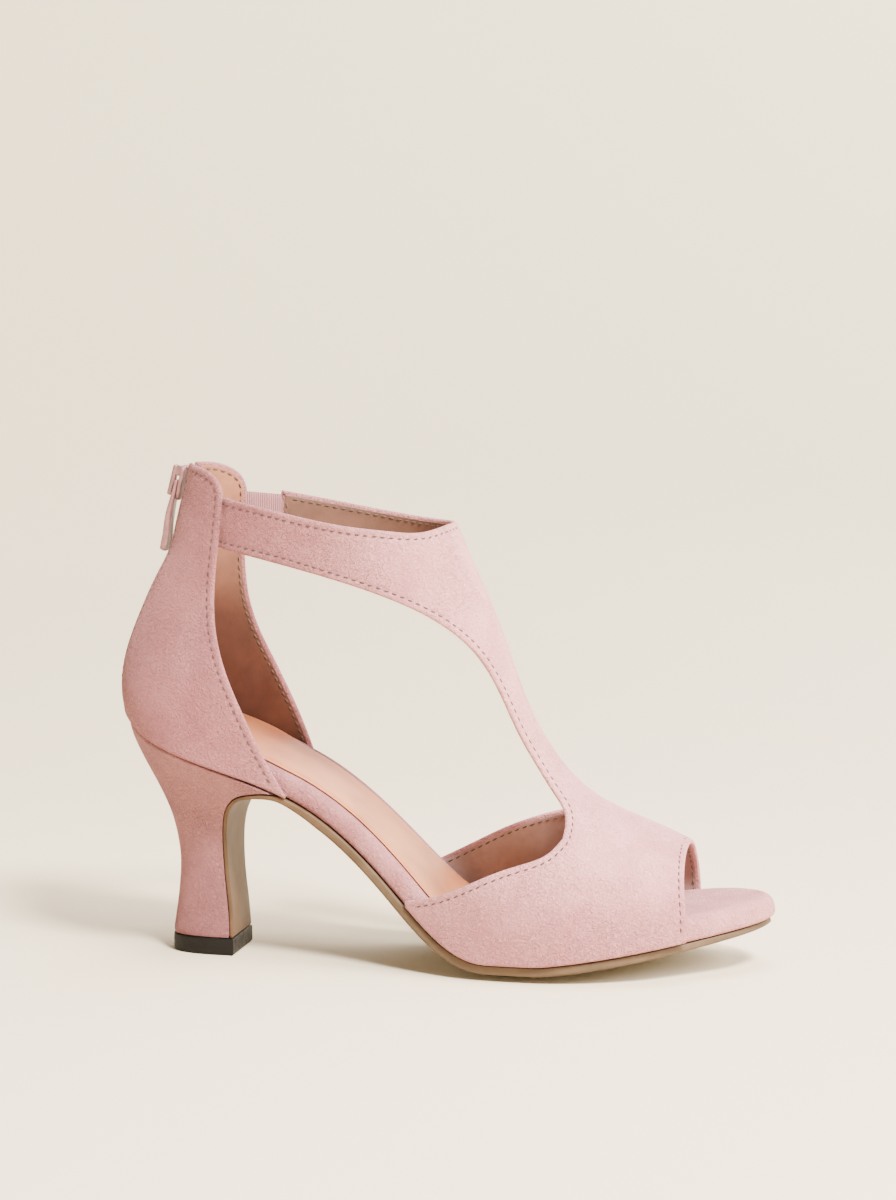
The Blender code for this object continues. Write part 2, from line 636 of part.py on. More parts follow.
def build_sock(parts, material):
    low, high = BOARD + GAP, BOARD + GAP + SOCK
    return slab("sock_lining", sock_outline(), BOARD_STEP,
                lambda x, y, share: on_footbed(x, y, low + (high - low) * share),
                ((0.0, 0.0), (0.0, 0.5), (0.5, 1.0)), parts, material, BOARD_ACROSS)


def sole_path():
    """Side-view line between heel or platform and the outsole, from the top piece to the ball.

    Gives its two coordinates over its length, the lengths of the heel's rows and its whole length.
    """
    stations = (68.0, 76.0, 84.0, 92.0, 100.0, 108.0, 116.0, 122.0, 127.0, 132.0, BALL_BACK)
    points = [(row[2], row[3]) for row in HEEL_ROWS] + [(x, feather_middle(x)) for x in stations]
    table = np.array(points)
    knots = np.concatenate([[0.0], np.cumsum(np.linalg.norm(np.diff(table, axis=0), axis=1))])
    return smooth_curve(knots, table[:, 0]), smooth_curve(knots, table[:, 1]), knots[:len(HEEL_ROWS)], knots[-1]


PATH_X, PATH_Z, HEEL_KNOTS, PATH_END = sole_path()
HEEL = table_curves(HEEL_COLUMNS, HEEL_ROWS, HEEL_KNOTS)


def path_point(length):
    """Point and normal (towards the foot) of the line under heel and platform."""
    over = length - PATH_END
    if over >= 0:
        x = BALL_BACK + over
        return Vector((x, 0, feather_middle(x))), normal_of(feather_middle, x)
    step = 0.5
    along = Vector((PATH_X(length + step) - PATH_X(length - step), 0,
                    PATH_Z(length + step) - PATH_Z(length - step))).normalized()
    return Vector((PATH_X(length), 0, PATH_Z(length))), Vector((-along.z, 0, along.x))


def outsole_edges(length):
    """Near and far edge of the outsole at a length of its path."""
    x = path_point(length)[0].x
    front = min(1.0, max(0.0, (x - TIP_ROUND_X) / (TIP_X - OUTSOLE_TIP_INSET - TIP_ROUND_X)))
    near, far = plan_edges(min(max(x, HEEL_TIP_X) + OUTSOLE_TIP_INSET * front ** 2, TIP_X))
    toe = min(1.0, max(0.0, (x - PEEP_NEAR[0][0] + 6.0) / 14.0))
    inset = OUTSOLE_INSET + (OUTSOLE_TOE_INSET - OUTSOLE_INSET) * toe
    half, middle = max(0.3, (far - near) / 2 - inset), (far + near) / 2
    near, far = middle - half, middle + half
    if length >= HEEL_KNOTS[-1]:
        return near, far
    half = float(HEEL["half_width"](length)) - BREAST_INSET
    share = min(1.0, max(0.0, (length - HEEL_KNOTS[-3]) / (HEEL_KNOTS[-1] - HEEL_KNOTS[-3])))
    return near * share - half * (1 - share), far * share + half * (1 - share)


def outsole_outline():
    tip = PATH_END + TIP_X - OUTSOLE_TIP_INSET - BALL_BACK
    straight = np.linspace(0, tip - TOE_STRETCH, 90)
    toe = tip - TOE_STRETCH * (1 - np.sin(np.linspace(0, math.pi / 2, 24)))[1:]
    lengths = np.concatenate([straight, toe])
    near = [(float(at), outsole_edges(at)[0]) for at in lengths]
    far = [(float(at), outsole_edges(at)[1]) for at in lengths[::-1]]
    return even_ring(near + far, EDGE_STEP)


def on_outsole(length, y, share):
    """Point of the outsole, from its tread (0) to the face that is glued (1)."""
    middle, normal = path_point(length)
    thin = min(1.0, max(0.0, (middle.x - 52.0) / 24.0))
    toe = min(1.0, max(0.0, (middle.x - TOE_THIN_X) / (TIP_X - TOE_THIN_X)))
    thickness = OUTSOLE_BREAST + (OUTSOLE - OUTSOLE_BREAST) * thin - (OUTSOLE - OUTSOLE_TOE) * toe
    rise = edge_rise(middle.x, y) if middle.x > HEEL_TIP_X else 0.0
    fade = min(1.0, max(0.0, (middle.x - HEEL_TIP_X) / 12.0))
    spot = middle - normal * (GAP + thickness * (1 - share))
    return Vector((spot.x, y, spot.z + rise * fade))


def build_outsole(parts, material):
    return slab("outsole", outsole_outline(), SHEET_STEP, on_outsole, ((0.0, 0.0), (0.0, 1.0)),
                parts, material, OUTSOLE_ACROSS)


def level_ring(back_x, back_z, front_x, front_z, half, power):
    """Rounded outline with a straight front, from its near front corner round to the far one."""
    turn = np.linspace(0, math.pi / 2, HEEL_SIDE_STEPS)
    ring = []
    for side, angles in ((NEAR, turn[::-1]), (FAR, turn[1:])):
        for angle in angles:
            share = 1 - math.cos(angle) ** (2 / power)
            x = back_x + (front_x - back_x) * share
            y = side * half * math.sin(angle) ** (2 / power)
            ring.append(Vector((x, y, back_z + (front_z - back_z) * share)))
    return ring


def seat_ring():
    """Top level of the heel, under the counter and the platform."""
    turn = np.linspace(0, math.pi / 2, HEEL_SIDE_STEPS)
    ring = []
    for side, angles in ((NEAR, turn[::-1]), (FAR, turn[1:])):
        for angle in angles:
            x = BACK_X + (HEEL_TIP_X - BACK_X) * (1 - math.cos(angle))
            y = plan_edges(x)[0 if side == NEAR else 1]
            ring.append(Vector((x, y, feather_middle(x) + edge_rise(x, y) - GAP)))
    return ring


def heel_level(length):
    """Level of the heel whose front lies at a length of the sole's path."""
    size = {name: float(curve(length)) for name, curve in HEEL.items()}
    return level_ring(size["back_x"], size["back_z"], float(PATH_X(length)), float(PATH_Z(length)),
                      size["half_width"], size["round"])


def heel_rings():
    """Levels from the top piece to the seat, which bend more and more to the seat's curve."""
    bend = [target - flat for target, flat in zip(seat_ring(), heel_level(HEEL_KNOTS[-1]))]
    rings = []
    for share in np.linspace(0, 1, HEEL_LEVELS):
        level = heel_level(share * HEEL_KNOTS[-1])
        rings.append([point + shift * share ** SEAT_BLEND for point, shift in zip(level, bend)])
    return rings


def build_heel(parts, material):
    rings = heel_rings()
    mesh = bmesh.new()
    made = [[mesh.verts.new(to_metres(point)) for point in ring] for ring in rings]
    count = len(made[0])
    for low, high in zip(made, made[1:]):
        for index in range(count):
            after = (index + 1) % count
            mesh.faces.new((low[index], low[after], high[after], high[index]))
    for ring in (made[0], made[-1]):
        for index in range(HEEL_SIDE_STEPS - 2):
            other = count - 1 - index
            mesh.faces.new((ring[index], ring[index + 1], ring[other - 1], ring[other]))
        middle = HEEL_SIDE_STEPS - 1
        mesh.faces.new((ring[middle - 1], ring[middle], ring[middle + 1]))
    bmesh.ops.recalc_face_normals(mesh, faces=mesh.faces)
    data = bpy.data.meshes.new("heel")
    mesh.to_mesh(data)
    mesh.free()
    return add_object("heel", data, parts, material)


def flat_curve(name, outline, thickness, collection, material, holes=()):
    """Extruded flat outline, as a filled 2D curve."""
    curve = bpy.data.curves.new(name, "CURVE")
    curve.dimensions = "2D"
    curve.fill_mode = "BOTH"
    curve.extrude = thickness / 2 * MM
    for ring in (outline, *holes):
        spline = curve.splines.new("POLY")
        spline.points.add(len(ring) - 1)
        for point, (a, b) in zip(spline.points, ring):
            point.co = (a * MM, b * MM, 0, 1)
        spline.use_cyclic_u = True
    curve.materials.append(material)
    made = bpy.data.objects.new(name, curve)
    collection.objects.link(made)
    return made


def build_top_piece(parts, material):
    ring = level_ring(HEEL_ROWS[0][0], 0, TOP_PIECE_FRONT, 0, TOP_PIECE_HALF, HEEL_ROWS[0][-1])
    outline = [(point.x - ORIGIN_X, point.y - ORIGIN_Y) for point in ring]
    made = flat_curve("top_piece", outline, TOP_PIECE, parts, material)
    made.location.z = TOP_PIECE / 2 * MM
    return made


def ankle_sheet(name, outline, inset, thickness, step, parts, material):
    """Sheet that follows the counter's surface at a distance inside it."""
    def place(along, across):
        return BACK.point(along, across) - BACK.normal(along, across) * inset

    mesh = open_surface(name, outline, step, place)
    face_outward(mesh, lambda centre: centre - Vector(to_metres((60, 0, 120))))
    made = add_object(name, mesh, parts, material)
    solidify(made, thickness)
    return made


def build_elastic(parts, material):
    lower = wrap(BACK, FAR, drawn_edge(((ELASTIC_BACK, 144.6), (47.0, 143.2), (ELASTIC_FRONT, 141.2))))
    upper = wrap(BACK, FAR, drawn_edge(((ELASTIC_BACK, 160.6), (47.0, 159.6), (ELASTIC_FRONT, 157.6))))
    return ankle_sheet("elastic_gore", lower + upper[::-1], WALL + GAP, ELASTIC, SHEET_STEP, parts, material)


def hinge_along():
    """Length along the back line at the hinge's height."""
    return BACK.place(23.0, HINGE_HEIGHT, NEAR)[0]


def zip_top():
    return hinge_along() + POST_DOWN - ZIP_END_BELOW_POST


def strip_outline(low, high, width):
    """Strip of one width along the back line."""
    heights = np.linspace(low, high, round((high - low) / EDGE_STEP))
    breadth = np.linspace(-width / 2, width / 2, max(2, round(width / TAPE_STEP)))
    near = [(float(at), -width / 2) for at in heights]
    top = [(high, float(at)) for at in breadth[1:-1]]
    far = [(float(at), width / 2) for at in heights[::-1]]
    return near + top + far + [(low, float(at)) for at in breadth[-2:0:-1]]


def build_zip_tape(parts, material):
    low = BACK.place(0.9, SLOT_BOTTOM - 6.0, NEAR)[0]
    return ankle_sheet("zip_tape", strip_outline(low, zip_top(), TAPE_WIDTH), WALL + TAPE_GAP, TAPE,
                       TAPE_STEP, parts, material)


def build_zip_chain(parts, material):
    low = BACK.place(0.4, CHAIN_BOTTOM, NEAR)[0]
    return ankle_sheet("zip_chain", strip_outline(low, zip_top(), CHAIN_WIDTH), WALL - CHAIN, CHAIN,
                       TAPE_STEP, parts, material)


def zip_spot(up, across, out):
    """Point in the rigid frame at the hinge."""
    along = hinge_along()
    base = BACK.point(along, 1e-3)
    outward = BACK.normal(along, 1e-3)
    outward = Vector((outward.x, 0, outward.z)).normalized()
    upward = Vector((-outward.z, 0, outward.x))
    if upward.z < 0:
        upward = -upward
    return Vector((base.x, 0, base.z)) + upward * up + outward * out + Vector((0, across, 0))


def prism(name, outline, faces, collection, material):
    """Block between two faces of the zip's frame; outline holds (up, across)."""
    mesh = bmesh.new()
    low, high = [[mesh.verts.new(to_metres(zip_spot(up, across, out))) for up, across in outline]
                 for out in faces]
    mesh.faces.new(low)
    mesh.faces.new(high[::-1])
    for index in range(len(outline)):
        after = (index + 1) % len(outline)
        mesh.faces.new((low[index], high[index], high[after], low[after]))
    bmesh.ops.recalc_face_normals(mesh, faces=mesh.faces)
    data = bpy.data.meshes.new(name)
    mesh.to_mesh(data)
    mesh.free()
    return add_object(name, data, collection, material, smooth=False)


def rectangle(low, high, width):
    half = width / 2
    return [(low, -half), (high, -half), (high, half), (low, half)]


def shield(low, high, low_width, width, corner=1.4):
    """Outline of a slider's plate, wider at the top and with its corners cut."""
    right = [(low, low_width / 2 - corner), (low + corner, low_width / 2), (high - corner, width / 2),
             (high, width / 2 - corner)]
    return right + [(up, -across) for up, across in reversed(right)]


def build_slider(parts, guides, material):
    slider = prism("zip_slider", shield(PLATE_DOWN, PLATE_UP, PLATE_LOW_WIDTH, PLATE_WIDTH), OUTER_PLATE,
                   parts, material)
    leg_faces = (OUTER_PLATE[1] - 0.4, BRIDGE[0] + 0.4)
    pieces = (
        ("inner_plate", shield(PLATE_DOWN + 1, PLATE_UP, INNER_WIDTH, INNER_WIDTH), INNER_PLATE),
        ("post", rectangle(POST_DOWN, PLATE_UP - 0.1, POST_WIDTH), (INNER_PLATE[0] + 0.3, OUTER_PLATE[1] - 0.3)),
        ("bridge", rectangle(-BRIDGE_REACH, BRIDGE_REACH, BRIDGE_WIDTH), BRIDGE),
        ("upper_leg", rectangle(BRIDGE_REACH - BRIDGE_LEG, BRIDGE_REACH - 0.05, BRIDGE_WIDTH - 0.1), leg_faces),
        ("lower_leg", rectangle(0.05 - BRIDGE_REACH, BRIDGE_LEG - BRIDGE_REACH, BRIDGE_WIDTH - 0.1), leg_faces),
    )
    for name, outline, faces in pieces:
        join_by_union(slider, prism("slider_" + name, outline, faces, guides, material))
    return slider


def pull_spot(below, across, out):
    """Point of the hanging pull: it leaves the slider straight, then follows the counter's line."""
    if below <= PULL_STRAIGHT:
        return zip_spot(-below, across, AXIS_OUT + out)
    share = (below - PULL_STRAIGHT) / (PULL_LENGTH - PULL_STRAIGHT)
    ease = share * share * (3 - 2 * share)
    lift = AXIS_OUT + (GAP + PULL / 2 + 0.1 - AXIS_OUT) * ease
    along = hinge_along() - below
    base = BACK.point(along, 1e-3)
    outward = BACK.normal(along, 1e-3)
    outward = Vector((outward.x, 0, outward.z)).normalized()
    return Vector((base.x, across, base.z)) + outward * (lift + out)


def pull_outline():
    """Outline of the pull as (length below the hinge, across), a little wider at its lower end."""
    top, low = -PULL_BAR / 2, PULL_LENGTH
    right = [(top, 0.0), (top, PULL_TOP_WIDTH / 2)]
    for below in np.linspace(top, low - 1.2, 18)[1:]:
        share = (below - top) / (low - top)
        right.append((float(below), (PULL_TOP_WIDTH + (PULL_WIDTH - PULL_TOP_WIDTH) * share) / 2))
    right += [(low - 0.3, PULL_WIDTH / 2 - 0.4), (low, PULL_WIDTH / 2 - 1.2), (low, 0.0)]
    return right + [(below, -across) for below, across in right[-2:0:-1]]


def build_pull(parts, guides, material):
    pull = slab("zip_pull", pull_outline(), 2.4,
                lambda below, across, share: pull_spot(below, across, (share - 0.5) * PULL),
                ((0.0, 0.0), (0.0, 1.0)), parts, material)
    outline = rectangle(-PULL_HOLE_END, -PULL_BAR / 2, PULL_HOLE_WIDTH)
    hole = prism("pull_hole_cutter", outline, (AXIS_OUT - 2, AXIS_OUT + 2), guides, material)
    hole.hide_render = True
    hole.display_type = "WIRE"
    cut = pull.modifiers.new("Hole", "BOOLEAN")
    cut.operation = "DIFFERENCE"
    cut.solver = "EXACT"
    cut.object = hole
    put_origin(pull, zip_spot(0, 0, AXIS_OUT))
    return pull


def put_origin(made, spot):
    """Move an object's origin without moving its mesh."""
    place = Vector(to_metres(spot))
    for vertex in made.data.vertices:
        vertex.co -= place
    made.location = place


def main():
    clear_scene()
    parts = make_collection("t_strap_shoe")
    guides = make_collection("guides")
    suede = make_material("suede", SUEDE)
    build_upper(parts, guides, suede)
    build_elastic(parts, make_material("elastic", ELASTIC_PINK))
    build_board(parts, make_material("wrapped_suede", SUEDE))
    build_sock(parts, make_material("sock_leather", LINING))
    build_outsole(parts, make_material("outsole_beige", SOLE_BEIGE))
    build_heel(parts, make_material("heel_suede", SUEDE_DEEP))
    build_top_piece(parts, make_material("rubber", RUBBER))
    build_zip_tape(parts, make_material("zip_tape_pink", SUEDE_DEEP))
    build_zip_chain(parts, make_material("zip_teeth", ENAMEL))
    enamel = make_material("zip_enamel", ENAMEL)
    build_slider(parts, guides, enamel)
    build_pull(parts, guides, enamel)


main()
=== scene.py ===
"""Looks of the T-strap shoe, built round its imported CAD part.

Lengths are millimetres in the same design frame as the part's source: x runs from the back of the
counter to the toe, y is positive on the inner side and z is the height above the floor.
"""
import math

import bmesh
import bpy
import numpy as np
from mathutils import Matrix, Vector, noise
from mathutils.geometry import delaunay_2d_cdt
from mathutils.kdtree import KDTree


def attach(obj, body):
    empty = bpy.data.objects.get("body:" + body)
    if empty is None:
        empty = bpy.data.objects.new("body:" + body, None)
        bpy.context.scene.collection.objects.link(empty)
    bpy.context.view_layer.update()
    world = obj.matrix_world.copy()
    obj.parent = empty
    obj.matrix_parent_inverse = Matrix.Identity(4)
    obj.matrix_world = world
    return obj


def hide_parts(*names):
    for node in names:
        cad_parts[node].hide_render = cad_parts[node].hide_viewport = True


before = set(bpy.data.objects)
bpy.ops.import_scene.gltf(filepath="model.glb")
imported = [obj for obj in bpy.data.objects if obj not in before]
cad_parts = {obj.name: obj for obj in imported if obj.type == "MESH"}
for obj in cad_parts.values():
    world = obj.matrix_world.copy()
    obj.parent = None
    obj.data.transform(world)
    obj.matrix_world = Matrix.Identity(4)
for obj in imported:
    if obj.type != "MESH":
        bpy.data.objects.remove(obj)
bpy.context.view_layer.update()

MM = 0.001
ORIGIN = np.array((114.35, -0.25, 0.0))
NEAR, FAR = -1, 1
GAP = 0.3                    # clearance between pieces that touch
EDGE_LIFT = -0.1             # of the upper's lower edge
WALL = 1.8
BOARD, BOARD_ROUND = 7.6, 3.7
BOARD_INSET = WALL + GAP
SOCK, SOCK_INSET, SOCK_FRONT = 1.1, 3.2, 188.0
OUTSOLE, OUTSOLE_BREAST, OUTSOLE_TOE = 3.0, 1.2, 1.9
OUTSOLE_INSET, OUTSOLE_TOE_INSET, OUTSOLE_TIP_INSET, BREAST_INSET = 1.0, 2.4, 4.2, 0.2
TOE_THIN_X = 170.0           # the outsole thins from here to its front end
TOE_STRETCH = 40.0           # length of the toe over which its outline closes
TOE_INSET_RUN = 14.0         # length over which its inset grows towards the bare platform
SKIVE_X, SKIVE_RUN = 52.0, 24.0              # where it grows to full thickness in front of the breast
SOCK_WAIST, SOCK_BOW = 3.0, 24.0             # narrowing at the arch and bow of the hidden front end
BACK_X, BACK_ROUND_X = 3.0, 33.0
TIP_X, TIP_ROUND_X = 231.0, 150.0
BALL_BACK, BALL_FRONT = 136.0, 153.0
TOE_SPRING, SPRING_POWER = 14.6, 1.25
CROWN_FLAT = 0.20
HEEL_TIP_X = 61.0
TOP_PIECE, TOP_PIECE_FRONT, TOP_PIECE_HALF = 6.0, 42.6, 13.3
SEAT_BLEND, SEAT_DROP = 5, 0.40              # power of the change from flat levels to the curved seat
HINGE_HEIGHT = 163.6
AXIS_OUT = 2.75
SLOT_HALF, SLOT_BOTTOM = 3.4, 94.0
TAPE_OUT, TAPE, TAPE_HALF = -2.52, 0.75, 9.9
COIL_OUT, COIL_BOTTOM = -0.55, 96.0
TAPE_TOP, COIL_TOP = 4.6, 4.4                # above the pull's hinge
MIDDLE = 1e-3                                # just off the middle line, where the two sides meet
PULL_TOP, PULL_LENGTH, PULL_STRAIGHT = -0.5, 25.0, 8.0
PULL_WIDTH, PULL_LOW_WIDTH = 6.2, 6.8
PULL, PULL_LOW = 1.2, 2.3
EDGE_STEP = 1.2

# Plan outline (x, near edge, far edge)
PLAN_ROWS = (
    (3, -26.8, 26.6),
    (33, -26.9, 26.7),
    (60, -26.2, 25.2),
    (80, -25.6, 21.8),
    (100, -28.6, 23.2),
    (124, -36.2, 32.2),
    (150, -40.0, 38.6),
    (190, -37.6, 42.6),
    (212, -33.4, 46.6),
    (231, -31.5, 48.5),
)
# Underside of the platform along the middle (x, height)
FEATHER_ROWS = (
    (0, 85.6),
    (12, 77.4),
    (24, 72.3),
    (40, 66.9),
    (60, 59.8),
    (80, 47.2),
    (100, 28.4),
    (115, 13.2),
    (127, 5.2),
    (BALL_BACK, OUTSOLE + GAP),
)
# Rise of the sheets' edges and the padding of arch and toes (x, near, far, arch, toes)
CROWN_ROWS = (
    (0, 0.0, 0.0, 0.0, 2.0),
    (20, 0.0, 0.0, 1.6, 3.2),
    (40, 0.0, 0.0, 3.2, 2.6),
    (60, 0.0, 0.0, 4.0, 0.0),
    (80, 0.7, 1.8, 3.2, 0.0),
    (100, 1.4, 2.6, 1.6, 0.0),
    (120, 2.2, 2.4, 0.4, 0.0),
    (150, 2.6, 2.6, 0.0, 0.4),
    (190, 2.2, 2.2, 0.0, 2.6),
    (212, 1.4, 1.6, 0.0, 1.3),
    (231, 0.0, 0.0, 0.0, 0.0),
)
SECTION_COLUMNS = ("ridge_x", "ridge_z", "ridge_y", "base_x", "base_z", "near", "far",
                   "wide", "round", "blunt", "open")
ANKLE_ROWS = (
    (130.4, 124.0, 1.5, 12.6, 132.2, -28.5, 28.0, 0.325, 1.62, 0.50, 0),
    (125.3, 135.6, 1.0, 17.1, 141.0, -28.5, 28.0, 0.325, 1.62, 0.50, 0),
    (121.3, 144.6, 0.5, 19.9, 151.5, -28.2, 28.0, 0.330, 1.62, 0.50, 0),
    (117.7, 152.6, 0.5, 22.5, 161.5, -28.0, 28.0, 0.330, 1.62, 0.50, 0),
    (112.5, 163.5, 0.5, 25.2, 172.5, -28.0, 28.0, 0.330, 1.62, 0.50, 0),
)
FRONT_ROWS = (
    (212.0, 36.0, 6.0, 212, 11.5, -20.4, 33.4, 0.72, 2.0, 0.5, 1),
    (190.0, 46.8, 4.5, 190, 8.0, -33.5, 38.4, 0.70, 2.0, 0.5, 1),
    (173.0, 54.0, 4.5, 170, 5.2, -39.0, 40.4, 0.72, 2.0, 0.5, 1),
    (162.8, 60.4, 4.0, 152, 2.6, -41.2, 40.2, 0.74, 2.0, 0.5, 1),
    (152.6, 72.2, 3.5, 124, 5.0, -37.6, 34.0, 0.70, 2.0, 0.5, 1),
    (144.6, 86.5, 3.0, 100, 27.0, -31.0, 28.0, 0.58, 2.0, 0.5, 1),
    (137.0, 106.5, 2.0, 60, 57.0, -28.0, 27.5, 0.36, 2.0, 0.5, 1),
) + ANKLE_ROWS
BACK_ROWS = (
    (140.0, 28.2, 0.0, 3.2, 77.2, -27.0, 26.8, 0.782, 2.00, 0.50, 0),
    (140.0, 42.9, 0.0, 0.9, 86.0, -27.4, 27.2, 0.762, 2.00, 0.50, 0),
    (140.0, 55.2, 0.0, 0.1, 93.0, -27.6, 27.4, 0.730, 2.00, 0.50, 0),
    (139.0, 77.5, 0.5, 1.6, 105.0, -27.4, 27.2, 0.650, 1.90, 0.50, 0),
    (135.0, 103.0, 1.0, 6.3, 118.5, -27.6, 27.4, 0.480, 1.76, 0.50, 0),
) + ANKLE_ROWS

# Pattern edges drawn in side view (x, z)
PEEP_NEAR = ((199.7, 42.6), (200.4, 36.5), (201.6, 28.0), (202.4, 20.0), (202.2, 13.4))
PEEP_FAR = ((199.7, 42.6), (199.6, 36.5), (199.9, 28.0), (200.1, 20.0), (199.9, 13.4))
VAMP_NEAR = ((106.8, 25.0), (117.0, 27.2), (128.0, 31.7), (139.0, 36.8), (149.0, 40.3),
             (156.5, 43.6), (160.6, 48.0))
VAMP_FAR = ((108.0, 30.0), (119.0, 35.4), (130.0, 40.9), (140.0, 45.0), (149.0, 47.9),
            (155.6, 50.4), (159.4, 54.0))
BAR_NEAR = ((160.6, 48.0), (160.6, 54.2), (156.4, 61.0), (149.5, 70.7), (144.0, 79.7), (139.5, 89.0),
            (134.7, 99.3), (129.4, 107.8), (118.0, 118.4), (100.0, 127.4), (80.0, 133.6), (58.0, 138.8),
            (34.6, 143.5))
BAR_FAR = ((159.4, 54.0), (158.2, 59.0), (154.6, 63.6), (148.4, 72.4), (143.0, 81.4), (138.6, 90.4),
           (134.0, 100.2), (128.6, 108.2), (117.4, 118.2), (99.0, 127.4), (76.0, 134.6), (52.2, 140.6))
BAND_END_NEAR = ((34.6, 143.5), (34.6, 161.0))
BAND_END_FAR = ((52.2, 140.6), (51.2, 150.4), (51.8, 160.2))
BAND_TOP_NEAR = ((34.6, 161.0), (48.0, 158.5), (64.0, 155.3), (84.0, 151.6), (102.0, 149.6),
                 (112.4, 149.4), (118.2, 151.4))
BAND_TOP_FAR = ((51.8, 160.2), (66.0, 157.4), (80.0, 154.7), (94.0, 152.4), (107.0, 151.2),
                (114.6, 151.2), (118.2, 151.4))
COUNTER_TOP_NEAR = ((24.9, 171.0), (27.6, 170.5), (31.6, 169.5), (35.6, 167.8), (38.8, 165.0), (40.4, 161.4))
COUNTER_FRONT_NEAR = ((40.4, 161.4), (39.7, 151.0), (38.6, 141.0), (37.9, 132.0), (38.2, 121.0),
                      (40.4, 110.0), (44.0, 100.0), (48.6, 89.6), (53.2, 79.6), (57.8, 70.4), (64.6, 58.4))
COUNTER_TOP_FAR = ((24.9, 171.0), (27.8, 170.9), (31.4, 170.2), (35.4, 168.4), (38.8, 165.2), (40.2, 161.2))
COUNTER_FRONT_FAR = ((40.2, 161.2), (39.8, 151.0), (39.3, 141.0), (39.4, 131.0), (40.4, 121.0),
                     (43.0, 111.0), (47.0, 101.5), (51.2, 93.0), (55.4, 84.4), (60.0, 74.0), (64.6, 61.8))

# Levels of the heel, from the top piece to the seat
HEEL_COLUMNS = ("back_x", "back_z", "front_x", "front_z", "half_width", "round")
HEEL_ROWS = (
    (18.2, TOP_PIECE + GAP, 41.0, TOP_PIECE + GAP, 13.1, 2.5),
    (19.7, 17.0, 40.5, 15.0, 12.4, 2.4),
    (20.7, 29.0, 39.4, 26.0, 12.1, 2.3),
    (20.1, 38.5, 38.8, 37.0, 12.7, 2.2),
    (17.5, 48.5, 39.2, 46.0, 14.4, 2.1),
    (13.1, 58.0, 41.2, 52.4, 17.4, 2.0),
    (8.1, 67.0, 45.4, 56.6, 21.0, 2.0),
    (4.6, 74.0, 51.6, 58.4, 24.4, 2.0),
    (3.0, 79.2, 61.0, 58.6, 26.9, 2.0),
)


# Curves and surfaces of the part

def smooth_curve(knots, values, end_slope=None):
    """Cubic curve through the rows of a table, free at its ends or with a given last slope."""
    knots = np.asarray(knots, float)
    values = np.asarray(values, float)
    count = len(knots)
    spans = np.diff(knots)
    slopes = np.diff(values) / spans
    matrix = np.zeros((count, count))
    right = np.zeros(count)
    matrix[0, 0] = 1.0
    for row in range(1, count - 1):
        matrix[row, row - 1:row + 2] = spans[row - 1], 2 * (spans[row - 1] + spans[row]), spans[row]
        right[row] = 6 * (slopes[row] - slopes[row - 1])
    matrix[-1, -1] = 1.0
    if end_slope is not None:
        matrix[-1, -2:] = spans[-1], 2 * spans[-1]
        right[-1] = 6 * (end_slope - slopes[-1])
    bends = np.linalg.solve(matrix, right)

    def at(where):
        where = np.clip(where, knots[0], knots[-1])
        row = np.clip(np.searchsorted(knots, where) - 1, 0, count - 2)
        left = (knots[row + 1] - where) / spans[row]
        after = 1 - left
        bend = (left ** 3 - left) * bends[row] + (after ** 3 - after) * bends[row + 1]
        return left * values[row] + after * values[row + 1] + bend * spans[row] ** 2 / 6

    return at


def column_curves(names, rows, knots=None):
    columns = list(zip(*rows))
    knots = columns[0] if knots is None else knots
    return {name: smooth_curve(knots, values) for name, values in zip(names, columns)}


def run_lengths(points):
    """Length along a line of points, at each of them."""
    return np.concatenate([[0.0], np.cumsum(np.linalg.norm(np.diff(points, axis=0), axis=1))])


def resampled(points, lengths, wanted):
    """Points at the wanted lengths along a line of points."""
    return np.stack([np.interp(wanted, lengths, column) for column in points.T], axis=1)


PLAN = column_curves(("x", "near", "far"), PLAN_ROWS)
CROWN = column_curves(("x", "near", "far", "arch", "toes"), CROWN_ROWS)
FEATHER = smooth_curve(*zip(*FEATHER_ROWS), end_slope=0.0)


def plan_edges(x):
    """Near and far edge of the plan outline at an array of x."""
    x = np.asarray(x, float)
    near, far = PLAN["near"](x), PLAN["far"](x)
    half, middle = (far - near) / 2, (far + near) / 2
    heel = np.clip((BACK_ROUND_X - x) / (BACK_ROUND_X - BACK_X), 0, 1)
    toe = np.clip((x - TIP_ROUND_X) / (TIP_X - TIP_ROUND_X), 0, 1)
    half = half * np.sqrt(1 - heel ** 2) * np.sqrt(1 - toe ** 2)
    return middle - half, middle + half


def feather_middle(x):
    x = np.asarray(x, float)
    spring = np.clip((x - BALL_FRONT) / (TIP_X - BALL_FRONT), 0, None)
    return np.where(x <= BALL_BACK, FEATHER(x), OUTSOLE + GAP + TOE_SPRING * spring ** SPRING_POWER)


def edge_share(x, y):
    near, far = plan_edges(x)
    half, middle = np.maximum((far - near) / 2, 1.0), (far + near) / 2
    across = (y - middle) / half
    share = np.clip((np.abs(across) - CROWN_FLAT) / (1 - CROWN_FLAT), 0, 1.2) ** 2
    return share, across >= 0


def edge_rise(x, y):
    share, far = edge_share(x, y)
    return share * np.maximum(0.0, np.where(far, CROWN["far"](x), CROWN["near"](x)))


def feather_edge(x, side):
    y = plan_edges(x)[0 if side == NEAR else 1]
    return feather_middle(x) + edge_rise(x, y)


def slope_normal(height_at, x):
    """Unit normals in side view, as x and z parts."""
    step = 0.5
    slope = (height_at(x + step) - height_at(x - step)) / (2 * step)
    size = np.sqrt(slope ** 2 + 1)
    return -slope / size, 1 / size


